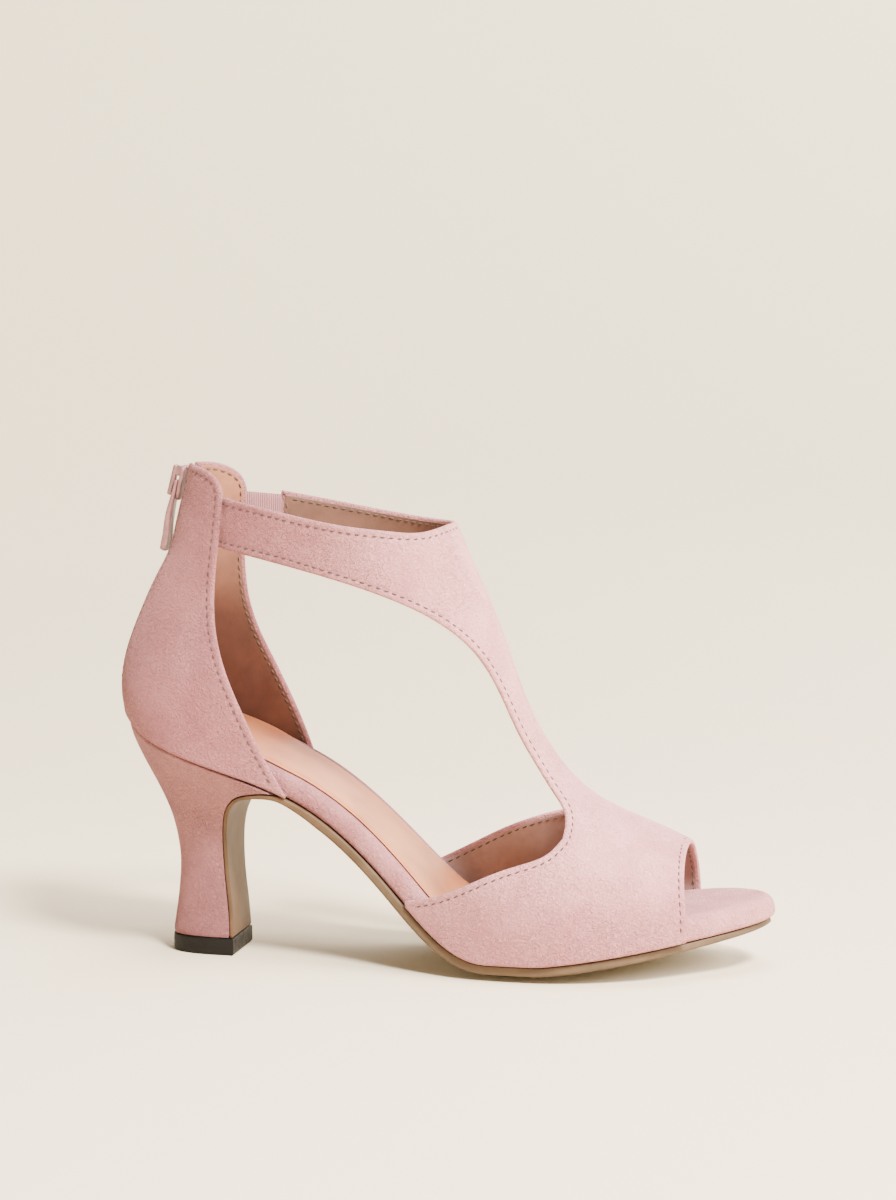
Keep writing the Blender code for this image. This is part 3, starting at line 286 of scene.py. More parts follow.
def on_footbed(x, y, lift):
    """Points above the platform's underside."""
    x, y, lift = np.broadcast_arrays(np.asarray(x, float), y, lift)
    share, far = edge_share(x, y)
    padding = np.maximum(0, 1 - share ** 2) * np.maximum(0, CROWN["toes"](x))
    padding = (padding + np.where(far, share * CROWN["arch"](x), 0.0)) * np.minimum(1.0, lift / BOARD)
    lean, rise = slope_normal(feather_middle, x)
    height = feather_middle(x) + edge_rise(x, y) + rise * lift + padding
    return np.stack([x + lean * lift, y, height], axis=-1)


class Sections:
    """Plane sections fanned round the foot, and the surface through them."""

    SAMPLES = 150
    CHUNK = 2500

    def __init__(self, rows, from_ridge):
        ridge = np.array([row[:2] for row in rows])
        base = np.array([row[3:5] for row in rows])
        self.knots = run_lengths(ridge if from_ridge else base)
        self.curves = column_curves(SECTION_COLUMNS, rows, self.knots)
        for name, side in (("near_base", 0), ("far_base", 1)):
            edges = [float(plan_edges(row[3])[side]) * row[-1] for row in rows]
            self.curves[name] = smooth_curve(self.knots, edges)
        self.from_ridge = from_ridge
        turn = np.linspace(0, math.pi / 2, self.SAMPLES)
        self.nose = 1 - np.cos(turn)
        self.tail = np.sin(turn)[1:]

    def lines(self, along, side):
        """Samples of half sections: depth share, breadth and length from the ridge, one row each."""
        size = {name: curve(along)[:, None] for name, curve in self.curves.items()}
        edge = np.where(side[:, None] < 0, size["near"], size["far"])
        base = np.where(side[:, None] < 0, size["near_base"], size["far_base"])
        nose_y = size["ridge_y"] + (edge - size["ridge_y"]) * np.sqrt(1 - (1 - self.nose) ** 2)
        tail_y = base + (edge - base) * (1 - self.tail ** size["round"]) ** size["blunt"]
        wide = size["wide"]
        depth = np.concatenate([self.nose * wide, wide + (1 - wide) * self.tail], axis=1)
        y = np.concatenate([nose_y, tail_y], axis=1)
        ridge = np.concatenate([size["ridge_x"], size["ridge_z"]], axis=1)
        span = np.concatenate([size["base_x"], size["base_z"]], axis=1) - ridge
        reach = depth * np.linalg.norm(span, axis=1)[:, None]
        steps = np.hypot(np.diff(reach, axis=1), np.diff(y, axis=1))
        length = np.concatenate([np.zeros((len(along), 1)), np.cumsum(steps, axis=1)], axis=1)
        return ridge, span, depth, y, length

    def points(self, along, across):
        """Surface points at lengths along the ridge (or back line) and lengths across."""
        along, across = np.asarray(along, float), np.asarray(across, float)
        parts = [self.some_points(along[i:i + self.CHUNK], across[i:i + self.CHUNK])
                 for i in range(0, len(along), self.CHUNK)]
        return np.concatenate(parts)

    def some_points(self, along, across):
        ridge, span, depth, y, length = self.lines(along, np.where(across < 0, -1, 1))
        wanted = np.abs(across) if self.from_ridge else length[:, -1] - np.abs(across)
        row = np.arange(len(along))
        index = np.clip((length <= wanted[:, None]).sum(axis=1) - 1, 0, length.shape[1] - 2)
        low, high = length[row, index], length[row, index + 1]
        share = np.clip((wanted - low) / np.maximum(high - low, 1e-9), 0, 1)
        at_depth = depth[row, index] * (1 - share) + depth[row, index + 1] * share
        at_y = y[row, index] * (1 - share) + y[row, index + 1] * share
        spot = ridge + span * at_depth[:, None]
        return np.stack([spot[:, 0], at_y, spot[:, 1]], axis=1)

    def turn(self, along, x, z):
        ridge_x, ridge_z = self.curves["ridge_x"](along), self.curves["ridge_z"](along)
        span_x, span_z = self.curves["base_x"](along) - ridge_x, self.curves["base_z"](along) - ridge_z
        share = (span_x * (x - ridge_x) + span_z * (z - ridge_z)) / (span_x ** 2 + span_z ** 2)
        return (x - ridge_x) * span_z - (z - ridge_z) * span_x, share

    def place(self, x, z, side):
        """Lengths (along, across) of the surface point that is seen from one side at x, z."""
        low, high = self.knots[0], self.knots[-1]
        for samples in (160, 20, 20):
            grid = np.linspace(low, high, samples)
            offset, share = self.turn(grid, x, z)
            crossed = (offset[:-1] * offset[1:] <= 0) & (share[:-1] > -0.1) & (share[:-1] < 1.1)
            first = int(np.argmax(crossed))
            if not crossed[first]:
                raise ValueError(f"{x:.1f}, {z:.1f} lies outside the sections")
            low, high = grid[first], grid[first + 1]
        along = float((low + high) / 2)
        share = min(1.0, max(0.0, float(self.turn(along, x, z)[1])))
        _, _, depth, _, length = self.lines(np.array([along]), np.array([side]))
        reach = float(np.interp(share, depth[0], length[0]))
        across = reach if self.from_ridge else float(length[0, -1]) - reach
        return along, side * across

    def slopes(self, along, across):
        """How the point moves for each millimetre along and across, and the outward normal."""
        step = 0.4
        ahead = (self.points(along + step, across) - self.points(along - step, across)) / (2 * step)
        aside = (self.points(along, across + step) - self.points(along, across - step)) / (2 * step)
        normal = np.cross(aside, ahead)
        normal /= np.linalg.norm(normal, axis=1)[:, None]
        return ahead, aside, normal if self.from_ridge else -normal


FRONT = Sections(FRONT_ROWS, from_ridge=True)
BACK = Sections(BACK_ROWS, from_ridge=False)


# Pattern outlines, with the name of the edge that each point lies on

def drawn_edge(points):
    """Smooth side-view curve through the given points, sampled about one step apart."""
    table = np.array(points, float)
    knots = run_lengths(table)
    at = np.linspace(0, knots[-1], max(2, round(knots[-1] / EDGE_STEP)) + 1)
    return list(zip(*(smooth_curve(knots, column)(at).tolist() for column in table.T)))


def feather_points(start, end, side):
    """The upper's lower edge, which rests on the heel and the outsole."""
    count = max(2, round(abs(end - start) / EDGE_STEP))
    return [(float(x), float(feather_edge(x, side)) + EDGE_LIFT) for x in np.linspace(start, end, count + 1)]


def wrap(sections, side, **edges):
    """Named edges drawn in side view, as one run of (along, across, name)."""
    run = []
    for name, edge in edges.items():
        for x, z in edge:
            spot = sections.place(x, z, side)
            if not run or math.dist(run[-1][:2], spot) > 0.4:
                run.append((*spot, name))
    return run


def front_pattern():
    """Vamp, T-bar and ankle band in one outline."""
    near = wrap(FRONT, NEAR, peep=drawn_edge(PEEP_NEAR),
                feather=feather_points(PEEP_NEAR[-1][0], VAMP_NEAR[0][0], NEAR),
                vamp=drawn_edge(VAMP_NEAR), bar=drawn_edge(BAR_NEAR), end=drawn_edge(BAND_END_NEAR),
                top=drawn_edge(BAND_TOP_NEAR))
    far = wrap(FRONT, FAR, peep=drawn_edge(PEEP_FAR), feather=feather_points(PEEP_FAR[-1][0], 107.4, FAR),
               vamp=drawn_edge(VAMP_FAR), bar=drawn_edge(BAR_FAR), far_end=drawn_edge(BAND_END_FAR),
               top=drawn_edge(BAND_TOP_FAR))
    return near[1:-1] + [near[-1]] + far[-2:0:-1] + [near[0]]


def back_pattern():
    """Counter, with the zip's slot down its back."""
    top = BACK.knots[0] + BACK.place(25.2, 171.0, NEAR)[0]
    bottom = BACK.place(0.4, SLOT_BOTTOM, NEAR)[0]
    near = wrap(BACK, NEAR, top=drawn_edge(COUNTER_TOP_NEAR), front=drawn_edge(COUNTER_FRONT_NEAR),
                feather=feather_points(COUNTER_FRONT_NEAR[-1][0] - 0.4, 3.4, NEAR))
    far = wrap(BACK, FAR, top=drawn_edge(COUNTER_TOP_FAR), front=drawn_edge(COUNTER_FRONT_FAR),
               feather=feather_points(COUNTER_FRONT_FAR[-1][0] - 0.4, 3.4, FAR))
    near = [spot for spot in near if spot[1] < -SLOT_HALF - 0.5 or spot[0] < bottom - 4]
    far = [spot for spot in far if spot[1] > SLOT_HALF + 0.5 or spot[0] < bottom - 4]
    heights = np.linspace(bottom, top, round((top - bottom) / EDGE_STEP))
    slot_near = [(float(at), -SLOT_HALF, "slot") for at in heights]
    slot_far = [(float(at), SLOT_HALF, "slot") for at in heights[::-1]]
    bend = [(bottom - SLOT_HALF * math.cos(turn), SLOT_HALF * math.sin(turn), "slot_end")
            for turn in np.linspace(-1.35, 1.35, 9)]
    return near + far[::-1] + slot_far + bend[::-1] + slot_near


def even_loop(points, step):
    """The same closed loop of points, as an array with points about one step apart."""
    table = np.array(points, float)
    closed = np.vstack([table, table[:1]])
    lengths = run_lengths(closed)
    count = max(8, round(lengths[-1] / step))
    return resampled(closed, lengths, np.linspace(0, lengths[-1], count, endpoint=False))


def inside(ring, spots):
    """Which spots lie inside a closed ring of the plane."""
    after = np.roll(ring, -1, axis=0)
    found = np.zeros(len(spots), bool)
    for (ax, ay), (bx, by) in zip(ring, after):
        if ay == by:
            continue
        crossing = (ay > spots[:, 1]) != (by > spots[:, 1])
        found ^= crossing & (spots[:, 0] > ax + (bx - ax) * (spots[:, 1] - ay) / (by - ay))
    return found


def even_grid(ring, step):
    """Staggered grid of the spots inside a ring of the plane."""
    low, high = ring.min(axis=0), ring.max(axis=0)
    rows = []
    for row, b in enumerate(np.arange(low[1], high[1], step * math.sqrt(3) / 2)):
        a = np.arange(low[0] + (row % 2) * step / 2, high[0], step)
        rows.append(np.stack([a, np.full_like(a, b)], axis=1))
    spots = np.concatenate(rows)
    return spots[inside(ring, spots)]


def nearest(points, others):
    """Distance from each point to the nearest of the others."""
    return np.concatenate([np.sqrt(((some[:, None] - others) ** 2).sum(axis=2)).min(axis=1)
                           for some in np.split(points, range(800, len(points), 800))])


def fill(rings, inner):
    """Triangles inside the first ring and outside the others, through the inner points too."""
    points, loops = [], []
    for ring in rings:
        base = len(points)
        points += [Vector(spot) for spot in ring]
        loops += [(base + i, base + (i + 1) % len(ring)) for i in range(len(ring))]
    points += [Vector(spot) for spot in inner]
    spots, _, faces, _, _, _ = delaunay_2d_cdt(points, loops, [], 1 if len(rings) == 1 else 3, 1e-6)
    table = np.array([(spot.x, spot.y) for spot in spots])
    kept = [tuple(face) for face in faces]
    if len(rings) > 1:
        middles = np.array([table[list(face)].mean(axis=0) for face in kept])
        keep = inside(np.array(rings[0]), middles)
        for hole in rings[1:]:
            keep &= ~inside(np.array(hole), middles)
        kept = [face for face, good in zip(kept, keep) if good]
    return table, kept


# Pieces

def grid_faces(rows, count, base=0, closed=True, caps=False):
    """Faces of a grid of points, row after row; its rows may be closed loops with a cap at each end."""
    faces = []
    for start in range(base, base + (rows - 1) * count, count):
        for i in range(count if closed else count - 1):
            a, b = start + i, start + (i + 1) % count
            faces.append((a, b, b + count, a + count))
    if caps:
        last = base + (rows - 1) * count
        faces += [tuple(range(base, base + count))[::-1], tuple(range(last, last + count))]
    return faces


def rim_faces(after, starts):
    """Faces between rings of points: after tells each point's neighbour, starts each ring's first index."""
    return [(a + i, b + i, b + j, a + j) for a, b in zip(starts, starts[1:]) for i, j in enumerate(after)]


def tube(centres, aside, outward, count):
    """Rings of points round a line of centres, with the half axes of each ring as vectors."""
    turn = np.linspace(0, 2 * math.pi, count, endpoint=False)[None, :, None]
    return (centres[:, None] + aside[:, None] * np.cos(turn) + outward[:, None] * np.sin(turn)).reshape(-1, 3)


def add_piece(name, points, faces, material, slot, node=None, body="shoe", uv=None, closed=True, sharp=None):
    """One piece from points in millimetres of the design frame.

    node is what it replaces, and sharp is the angle in degrees past which its edges are sharp.
    """
    mesh = bpy.data.meshes.new(name)
    spots = (np.concatenate(points) - ORIGIN) * MM
    mesh.from_pydata(spots.tolist(), [], [tuple(int(i) for i in face) for face in faces])
    if uv is not None:
        layer = mesh.uv_layers.new(name="UVMap")
        loops = np.empty(len(mesh.loops), int)
        mesh.loops.foreach_get("vertex_index", loops)
        layer.data.foreach_set("uv", (np.concatenate(uv) / 10)[loops].astype(np.float32).ravel())
    mesh.shade_smooth()
    mesh.materials.append(material)
    if closed:
        turned_out = bmesh.new()
        turned_out.from_mesh(mesh)
        bmesh.ops.recalc_face_normals(turned_out, faces=turned_out.faces)
        turned_out.to_mesh(mesh)
        turned_out.free()
    if sharp:
        mesh.set_sharp_from_angle(angle=math.radians(sharp))
    made = bpy.data.objects.new(name, mesh)
    bpy.context.scene.collection.objects.link(made)
    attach(made, body)
    if node:
        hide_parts(node)


def pull_in(sections, ring, distance):
    """Ring (along, across) moved inward over the surface by a true distance in millimetres."""
    moved = np.array(ring, float)
    turn = np.roll(moved, -1, axis=0)
    sign = np.sign(np.sum(moved[:, 0] * turn[:, 1] - turn[:, 0] * moved[:, 1]))
    steps = max(1, math.ceil(abs(distance) / 1.4))
    for _ in range(steps):
        points = sections.points(moved[:, 0], moved[:, 1])
        ahead, aside, normal = sections.slopes(moved[:, 0], moved[:, 1])
        tangent = np.roll(points, -1, axis=0) - np.roll(points, 1, axis=0)
        tangent /= np.maximum(np.linalg.norm(tangent, axis=1), 1e-9)[:, None]
        inward = np.cross(normal, tangent)
        aa, ab, bb = (ahead * ahead).sum(1), (ahead * aside).sum(1), (aside * aside).sum(1)
        ra, rb = (ahead * inward).sum(1), (aside * inward).sum(1)
        size = aa * bb - ab * ab
        move = np.stack([(ra * bb - rb * ab) / size, (rb * aa - ra * ab) / size], axis=1)
        flat = np.roll(moved, -1, axis=0) - np.roll(moved, 1, axis=0)
        side = sign * (flat[:, 0] * move[:, 1] - flat[:, 1] * move[:, 0])
        move *= np.where(side < 0, -1.0, 1.0)[:, None]
        moved = moved + move * distance / steps
    return moved


def smooth_step(value, low, high):
    share = np.clip((value - low) / (high - low), 0, 1)
    return share * share * (3 - 2 * share)


def near_distances(points, others):
    """Distance from each point to the nearest of many others."""
    tree = KDTree(len(others))
    for index, spot in enumerate(others):
        tree.insert(spot, index)
    tree.balance()
    return np.array([tree.find(spot)[2] for spot in points])


def soft_waves(points, size, seed):
    """Slow uneven waves of about one unit, for cloth and leather that doesn't lie perfectly flat."""
    shift = Vector((seed * 7.3, seed * 3.1, seed * 5.7))
    return np.array([noise.noise(Vector(spot) / size + shift) for spot in points])


def sheet_spots(sections, ring, rows, step):
    """Inner spots of a sheet: rows beside its edge at the given distances, then an even grid."""
    edge = sections.points(ring[:, 0], ring[:, 1])
    found = []
    for distance in rows:
        row = pull_in(sections, ring, distance)
        away = near_distances(sections.points(row[:, 0], row[:, 1]), edge)
        found.append(row[(away > distance * 0.93 - 0.05) & inside(ring, row)])
    grid = even_grid(ring, step)
    away = near_distances(sections.points(grid[:, 0], grid[:, 1]), edge)
    found.append(grid[away > rows[-1] + step * 0.6])
    return np.concatenate(found)


def dense_line(points):
    """The same line of points, about 0.3 mm apart."""
    lengths = run_lengths(points)
    return resampled(points, lengths, np.linspace(0, lengths[-1], max(2, int(lengths[-1] / 0.3))))


# Rims of the suede and of the lining, from the sheet's end on (distance in from the edge, depth)
SUEDE_RIM = ((0.9, 0.0), (0.5, 0.08), (0.22, 0.28), (0.05, 0.58), (0.0, 0.9), (0.05, 1.22), (0.22, 1.52),
             (0.5, 1.72), (0.95, 1.80), (1.9, 1.82))
LINING_RIM = ((1.5, 1.86), (1.2, 1.76), (1.15, 1.55))
# Rows of points beside the edge, and the step of the grid between them
SUEDE_MESH = ((1.5, 2.1, 2.6, 3.1, 3.8, 4.8), 1.9)
LINING_MESH = ((2.2, 2.6, 3.0, 4.2), 2.6)
STITCH_IN = 2.3              # distance of the stitches from the edge
STITCH_PITCH, STITCH_LENGTH, STITCH_WIDTH, STITCH_RISE = 2.9, 1.9, 0.56, 0.13
# Shape of one stitch (place along it, swell, lift)
STITCH_ROWS = (
    (-1.0, 0.25, -0.34),
    (-0.82, 0.75, -0.10),
    (-0.4, 1.0, 0.0),
    (0.0, 1.0, 0.02),
    (0.4, 1.0, 0.0),
    (0.82, 0.75, -0.10),
    (1.0, 0.25, -0.34),
)


def stitch_lines(sections, outline, stitched, distance=STITCH_IN):
    """Runs of (along, across) beside the stitched edges of an outline."""
    ring = np.array([spot[:2] for spot in outline])
    row = pull_in(sections, ring, distance)
    away = near_distances(sections.points(*row.T), sections.points(*ring.T))
    good = np.array([spot[2] in stitched for spot in outline]) & (away > distance * 0.93) & inside(ring, row)
    start = 0 if good.all() else int(np.argmin(good))
    good, row = np.roll(good, -start), np.roll(row, -start, axis=0)
    breaks = np.flatnonzero(np.diff(good.astype(int))) + 1
    runs = zip(np.split(row, breaks), np.split(good, breaks))
    return [run for run, kept in runs if kept[0] and len(run) > 4]


def suede_height(points, from_edge, sewn):
    """Furrows under the stitches, the soft roll of the edge beside them and slow waves."""
    from_sewn = near_distances(points, sewn)
    height = 0.10 * np.exp(-((from_edge - 1.7) / 0.8) ** 2) * np.exp(-(from_sewn / 3.5) ** 2)
    height -= 0.20 * np.exp(-(from_sewn / 0.55) ** 2)
    height += 0.14 * soft_waves(points, 17.0, 1) * smooth_step(from_edge, 1.0, 9.0)
    return height + 0.05 * soft_waves(points, 6.0, 2) * smooth_step(from_edge, 1.0, 6.0)


def lining_height(points, from_edge):
    """The lining's inner face, with a ridge of its own along the stitches and slow waves."""
    height = -LINING_RIM[0][1] - 0.06 * np.exp(-((from_edge - 1.9) / 0.5) ** 2)
    height += 0.10 * np.exp(-((from_edge - STITCH_IN) / 0.4) ** 2)
    return height + 0.16 * soft_waves(points, 14.0, 4) * smooth_step(from_edge, 2.0, 9.0)


def skin(name, sections, outline, rim, mesh, height_at, sink, material, slot, node=None):
    """One face of a pattern piece: a sheet with its relief, and a rim that folds round the edge."""
    ring = np.array([spot[:2] for spot in outline])
    rims = [pull_in(sections, ring, inset) for inset, _ in rim]
    spots, faces = fill(rims[:1], sheet_spots(sections, ring, *mesh))
    points = sections.points(*spots.T)
    height = height_at(points, near_distances(points, sections.points(*ring.T)))
    every = [points + sections.slopes(*spots.T)[2] * (height - sink(points))[:, None]]
    for line, (_, depth) in zip(rims[1:], rim[1:]):
        spot = sections.points(*line.T)
        every.append(spot - sections.slopes(*line.T)[2] * (depth + sink(spot))[:, None])
    starts = [0] + [len(points) + row * len(ring) for row in range(len(rim) - 1)]
    faces += rim_faces(np.roll(np.arange(len(ring)), -1), starts)
    add_piece(name, every, faces, material, slot, node, uv=[spots] + rims[1:])


def stitches(name, runs, material, slot, seed):
    """Rows of thread, each stitch a small bent capsule; runs hold points and normals in millimetres."""
    chance = np.random.default_rng(seed)
    along, swell, lift = np.array(STITCH_ROWS).T
    wide, high = (swell[:, None] * STITCH_WIDTH * share for share in (0.5, 0.42))
    points, faces = [], []
    for line, normals in runs:
        lengths = run_lengths(line)
        count = int(lengths[-1] / STITCH_PITCH)
        start = (lengths[-1] - (count - 1) * STITCH_PITCH) / 2
        for index in range(count):
            middle = start + index * STITCH_PITCH + chance.normal(0, 0.05)
            at = middle + along * (STITCH_LENGTH / 2 * (1 + chance.normal(0, 0.03)))
            spot, out = resampled(line, lengths, at), resampled(normals, lengths, at)
            out /= np.linalg.norm(out, axis=1)[:, None]
            tangent = spot[-1] - spot[0]
            side = np.cross(out, tangent / np.linalg.norm(tangent))
            spot = spot + side * (along * (0.10 + chance.normal(0, 0.02)))[:, None]
            faces += grid_faces(len(along), 6, len(points) * len(along) * 6)
            points.append(tube(spot + out * (STITCH_RISE + lift)[:, None], side * wide, out * high, 6))
    add_piece(name, points, faces, material, slot, closed=False)


def sewn_runs(sections, lines, depth, sink, way):
    """Points and normals of stitch lines on the outer face (way 1) or the inner one (way -1)."""
    runs = []
    for line in lines:
        spot, out = sections.points(*line.T), sections.slopes(*line.T)[2]
        runs.append((spot - out * (depth + sink(spot))[:, None], out * way))
    return runs


def plan_ring(inset, step):
    """Plan outline of the shoe, pulled in by an inset, as an even ring of (x, y)."""
    turn = np.linspace(0, math.pi, 260)
    x = BACK_X + 0.05 + (TIP_X - BACK_X - 0.1) * (1 - np.cos(turn)) / 2
    near, far = plan_edges(x)
    ring = np.concatenate([np.stack([x, near], axis=1), np.stack([x, far], axis=1)[::-1]])
    return even_loop(flat_inset(ring, inset), step)


def flat_inset(ring, inset):
    """Ring of the plane, running anticlockwise, pulled in by an inset."""
    along = np.roll(ring, -1, axis=0) - np.roll(ring, 1, axis=0)
    size = np.linalg.norm(along, axis=1)
    ring, along = ring[size > 1e-6], along[size > 1e-6]
    inward = np.stack([-along[:, 1], along[:, 0]], axis=1) / np.linalg.norm(along, axis=1)[:, None]
    return ring + inward * inset


def turned(ring):
    """The ring, running anticlockwise."""
    after = np.roll(ring, -1, axis=0)
    area = np.sum(ring[:, 0] * after[:, 1] - after[:, 0] * ring[:, 1])
    return ring if area > 0 else ring[::-1]


def block(name, ring, layers, place, step, material, slot, node=None, body="shoe", waves=None, holes=()):
    """Closed sheet over a ring: place(a, b, share) gives points from its lower (0) to its upper face (1).

    layers are rows of (inset, share) from the middle of the lower face round the rim to the upper face.
    waves are the height, size and seed of slow waves on the upper face.
    """
    rings = [turned(np.asarray(part, float)) for part in (ring, *holes)]
    rings[1:] = [hole[::-1] for hole in rings[1:]]

    def layer_rings(inset):
        return [flat_inset(part, inset) for part in rings]

    top = layer_rings(layers[-1][0])
    inner = even_grid(top[0], step)
    for hole in top[1:]:
        inner = inner[~inside(hole, inner)]
    if len(inner):
        inner = inner[nearest(inner, np.concatenate(top)) > step * 0.55]
    spots, faces = fill(top, inner)
    count = len(np.concatenate(top))
    after, base = [], 0
    for part in top:
        after += [base + (i + 1) % len(part) for i in range(len(part))]
        base += len(part)
    every, flat = [place(*spots.T, layers[-1][1])], [spots]
    if waves:
        height, size, seed = waves
        every[0][:, 2] += height * soft_waves(every[0], size, seed)
    for inset, share in layers[-2::-1]:
        spot = np.concatenate(layer_rings(inset))
        every.append(place(*spot.T, share))
        flat.append(spot)
    starts = [0] + [len(spots) + row * count for row in range(len(layers) - 1)]
    faces += rim_faces(after, starts)
    lower_spots, lower_faces = fill(layer_rings(layers[0][0]), inner)
    every.append(place(*lower_spots[count:].T, layers[0][1]))
    flat.append(lower_spots[count:])
    index = np.concatenate([starts[-1] + np.arange(count),
                            starts[-1] + count + np.arange(len(lower_spots) - count)])
    faces += [tuple(index[list(face)][::-1]) for face in lower_faces]
    add_piece(name, every, faces, material, slot, node, body, flat)


# Sole and heel

def sole_path():
    """Side-view line between heel or platform and the outsole, from the top piece to the ball."""
    stations = (68.0, 76.0, 84.0, 92.0, 100.0, 108.0, 116.0, 122.0, 127.0, 132.0, BALL_BACK)
    points = [(row[2], row[3]) for row in HEEL_ROWS] + [(x, float(feather_middle(x))) for x in stations]
    table = np.array(points)
    knots = run_lengths(table)
    along, height = (smooth_curve(knots, column) for column in table.T)
    return along, height, knots[:len(HEEL_ROWS)], knots[-1]


PATH_X, PATH_Z, HEEL_KNOTS, PATH_END = sole_path()
HEEL = column_curves(HEEL_COLUMNS, HEEL_ROWS, HEEL_KNOTS)


def path_points(length):
    """Points (x, z) and normals (towards the foot) of the line under heel and platform."""
    length = np.asarray(length, float)
    over = length - PATH_END
    front_x = BALL_BACK + np.maximum(over, 0)
    lean, rise = slope_normal(feather_middle, front_x)
    step = 0.5
    along_x = PATH_X(length + step) - PATH_X(length - step)
    along_z = PATH_Z(length + step) - PATH_Z(length - step)
    size = np.hypot(along_x, along_z) + 1e-9
    front = over >= 0
    return (np.where(front, front_x, PATH_X(length)),
            np.where(front, feather_middle(front_x), PATH_Z(length)),
            np.where(front, lean, -along_z / size),
            np.where(front, rise, along_x / size))


def outsole_edges(length):
    x = path_points(length)[0]
    front = np.clip((x - TIP_ROUND_X) / (TIP_X - OUTSOLE_TIP_INSET - TIP_ROUND_X), 0, 1)
    near, far = plan_edges(np.minimum(np.maximum(x, HEEL_TIP_X) + OUTSOLE_TIP_INSET * front ** 2, TIP_X))
    toe = np.clip((x - PEEP_NEAR[0][0] + 6.0) / TOE_INSET_RUN, 0, 1)
    inset = OUTSOLE_INSET + (OUTSOLE_TOE_INSET - OUTSOLE_INSET) * toe
    half, middle = np.maximum(0.3, (far - near) / 2 - inset), (far + near) / 2
    near, far = middle - half, middle + half
    half = HEEL["half_width"](length) - BREAST_INSET
    share = np.clip((length - HEEL_KNOTS[-3]) / (HEEL_KNOTS[-1] - HEEL_KNOTS[-3]), 0, 1)
    breast = length < HEEL_KNOTS[-1]
    return (np.where(breast, near * share - half * (1 - share), near),
            np.where(breast, far * share + half * (1 - share), far))


def outsole_ring(step):
    tip = PATH_END + TIP_X - OUTSOLE_TIP_INSET - BALL_BACK
    straight = np.linspace(0, tip - TOE_STRETCH, 200)
    toe = tip - TOE_STRETCH * (1 - np.sin(np.linspace(0, math.pi / 2, 60)))[1:]
    lengths = np.concatenate([straight, toe])
    near, far = outsole_edges(lengths)
    ring = np.concatenate([np.stack([lengths, near], axis=1), np.stack([lengths, far], axis=1)[::-1]])
    return even_loop(ring, step)


def on_outsole(length, y, share):
    x, z, lean, rise = path_points(length)
    thin = np.clip((x - SKIVE_X) / SKIVE_RUN, 0, 1)
    toe = np.clip((x - TOE_THIN_X) / (TIP_X - TOE_THIN_X), 0, 1)
    thickness = OUTSOLE_BREAST + (OUTSOLE - OUTSOLE_BREAST) * thin - (OUTSOLE - OUTSOLE_TOE) * toe
    lift = np.where(x > HEEL_TIP_X, edge_rise(x, y), 0.0) * np.clip((x - HEEL_TIP_X) / 12.0, 0, 1)
    below = GAP + thickness * (1 - np.asarray(share, float))
    return np.stack([x - lean * below, np.broadcast_to(y, x.shape), z - rise * below + lift], axis=-1)


def half_turn(steps):
    """Angles of a half outline from its near front corner round to the far one, and which are far."""
    turn = np.linspace(0, math.pi / 2, steps)
    return np.concatenate([turn[::-1], turn[1:]]), np.arange(2 * steps - 1) >= steps


def level_ring(back_x, back_z, front_x, front_z, half, power, steps):
    """Rounded outline with a straight front."""
    angle, far = half_turn(steps)
    share = 1 - np.cos(angle) ** (2 / power)
    return np.stack([back_x + (front_x - back_x) * share,
                     np.where(far, half, -half) * np.sin(angle) ** (2 / power),
                     back_z + (front_z - back_z) * share], axis=1)


def seat_ring(steps):
    angle, far = half_turn(steps)
    x = BACK_X + (HEEL_TIP_X - BACK_X) * (1 - np.cos(angle))
    y = np.where(far, *plan_edges(x)[::-1])
    return np.stack([x, y, feather_middle(x) + edge_rise(x, y) - SEAT_DROP], axis=1)


def heel_levels(levels, steps):
    def level(length):
        size = {name: float(curve(length)) for name, curve in HEEL.items()}
        return level_ring(size["back_x"], size["back_z"], float(PATH_X(length)), float(PATH_Z(length)),
                          size["half_width"], size["round"], steps)

    bend = seat_ring(steps) - level(HEEL_KNOTS[-1])
    return [level(share * HEEL_KNOTS[-1]) + bend * share ** SEAT_BLEND for share in np.linspace(0, 1, levels)]


def build_heel(material):
    """Wrapped heel: its cover turns in a little at the seat and the top piece."""
    steps, levels = 44, 90
    rings = np.array(heel_levels(levels, steps))
    inward = (rings.mean(axis=1, keepdims=True) - rings) * (1, 1, 0)
    inward /= np.maximum(np.linalg.norm(inward, axis=2), 1e-6)[..., None]
    index, low_turn, seat_turn = np.arange(levels), 0.5, 1.5
    turned_in = low_turn * np.maximum(0.0, 1 - index / 2.0) ** 2
    turned_in += seat_turn * np.maximum(0.0, 1 - (levels - 1 - index) / 4.5) ** 2
    table = (rings + inward * turned_in[:, None, None]).reshape(-1, 3)
    table += soft_waves(table, 13.0, 9)[:, None] * np.array((0.10, 0.16, 0.0))
    uv = np.stack([table[:, 1] + table[:, 0], table[:, 2]], axis=1)
    add_piece("heel_cover", [table], grid_faces(levels, 2 * steps - 1, caps=True), material, "heel_suede",
              "heel", uv=[uv], sharp=38)


def build_top_piece(material):
    """Rubber tip with a small bevel and worn lower edge."""
    layers = ((0.9, 0.0), (0.45, 0.12), (0.12, 0.45), (0.0, 0.95), (0.0, 2.5), (0.0, 4.6), (0.04, 5.5),
              (0.16, 5.8), (0.42, 5.95), (0.9, 6.0))
    back, power = HEEL_ROWS[0][0], HEEL_ROWS[0][-1]
    ring = turned(level_ring(back, 0, TOP_PIECE_FRONT, 0, TOP_PIECE_HALF, power, 34)[:, :2])
    points = [np.insert(flat_inset(ring, inset), 2, height, axis=1) for inset, height in layers]
    add_piece("heel_tip", points, grid_faces(len(layers), len(ring), caps=True), material, "top_piece_rubber",
              "top_piece", sharp=50)


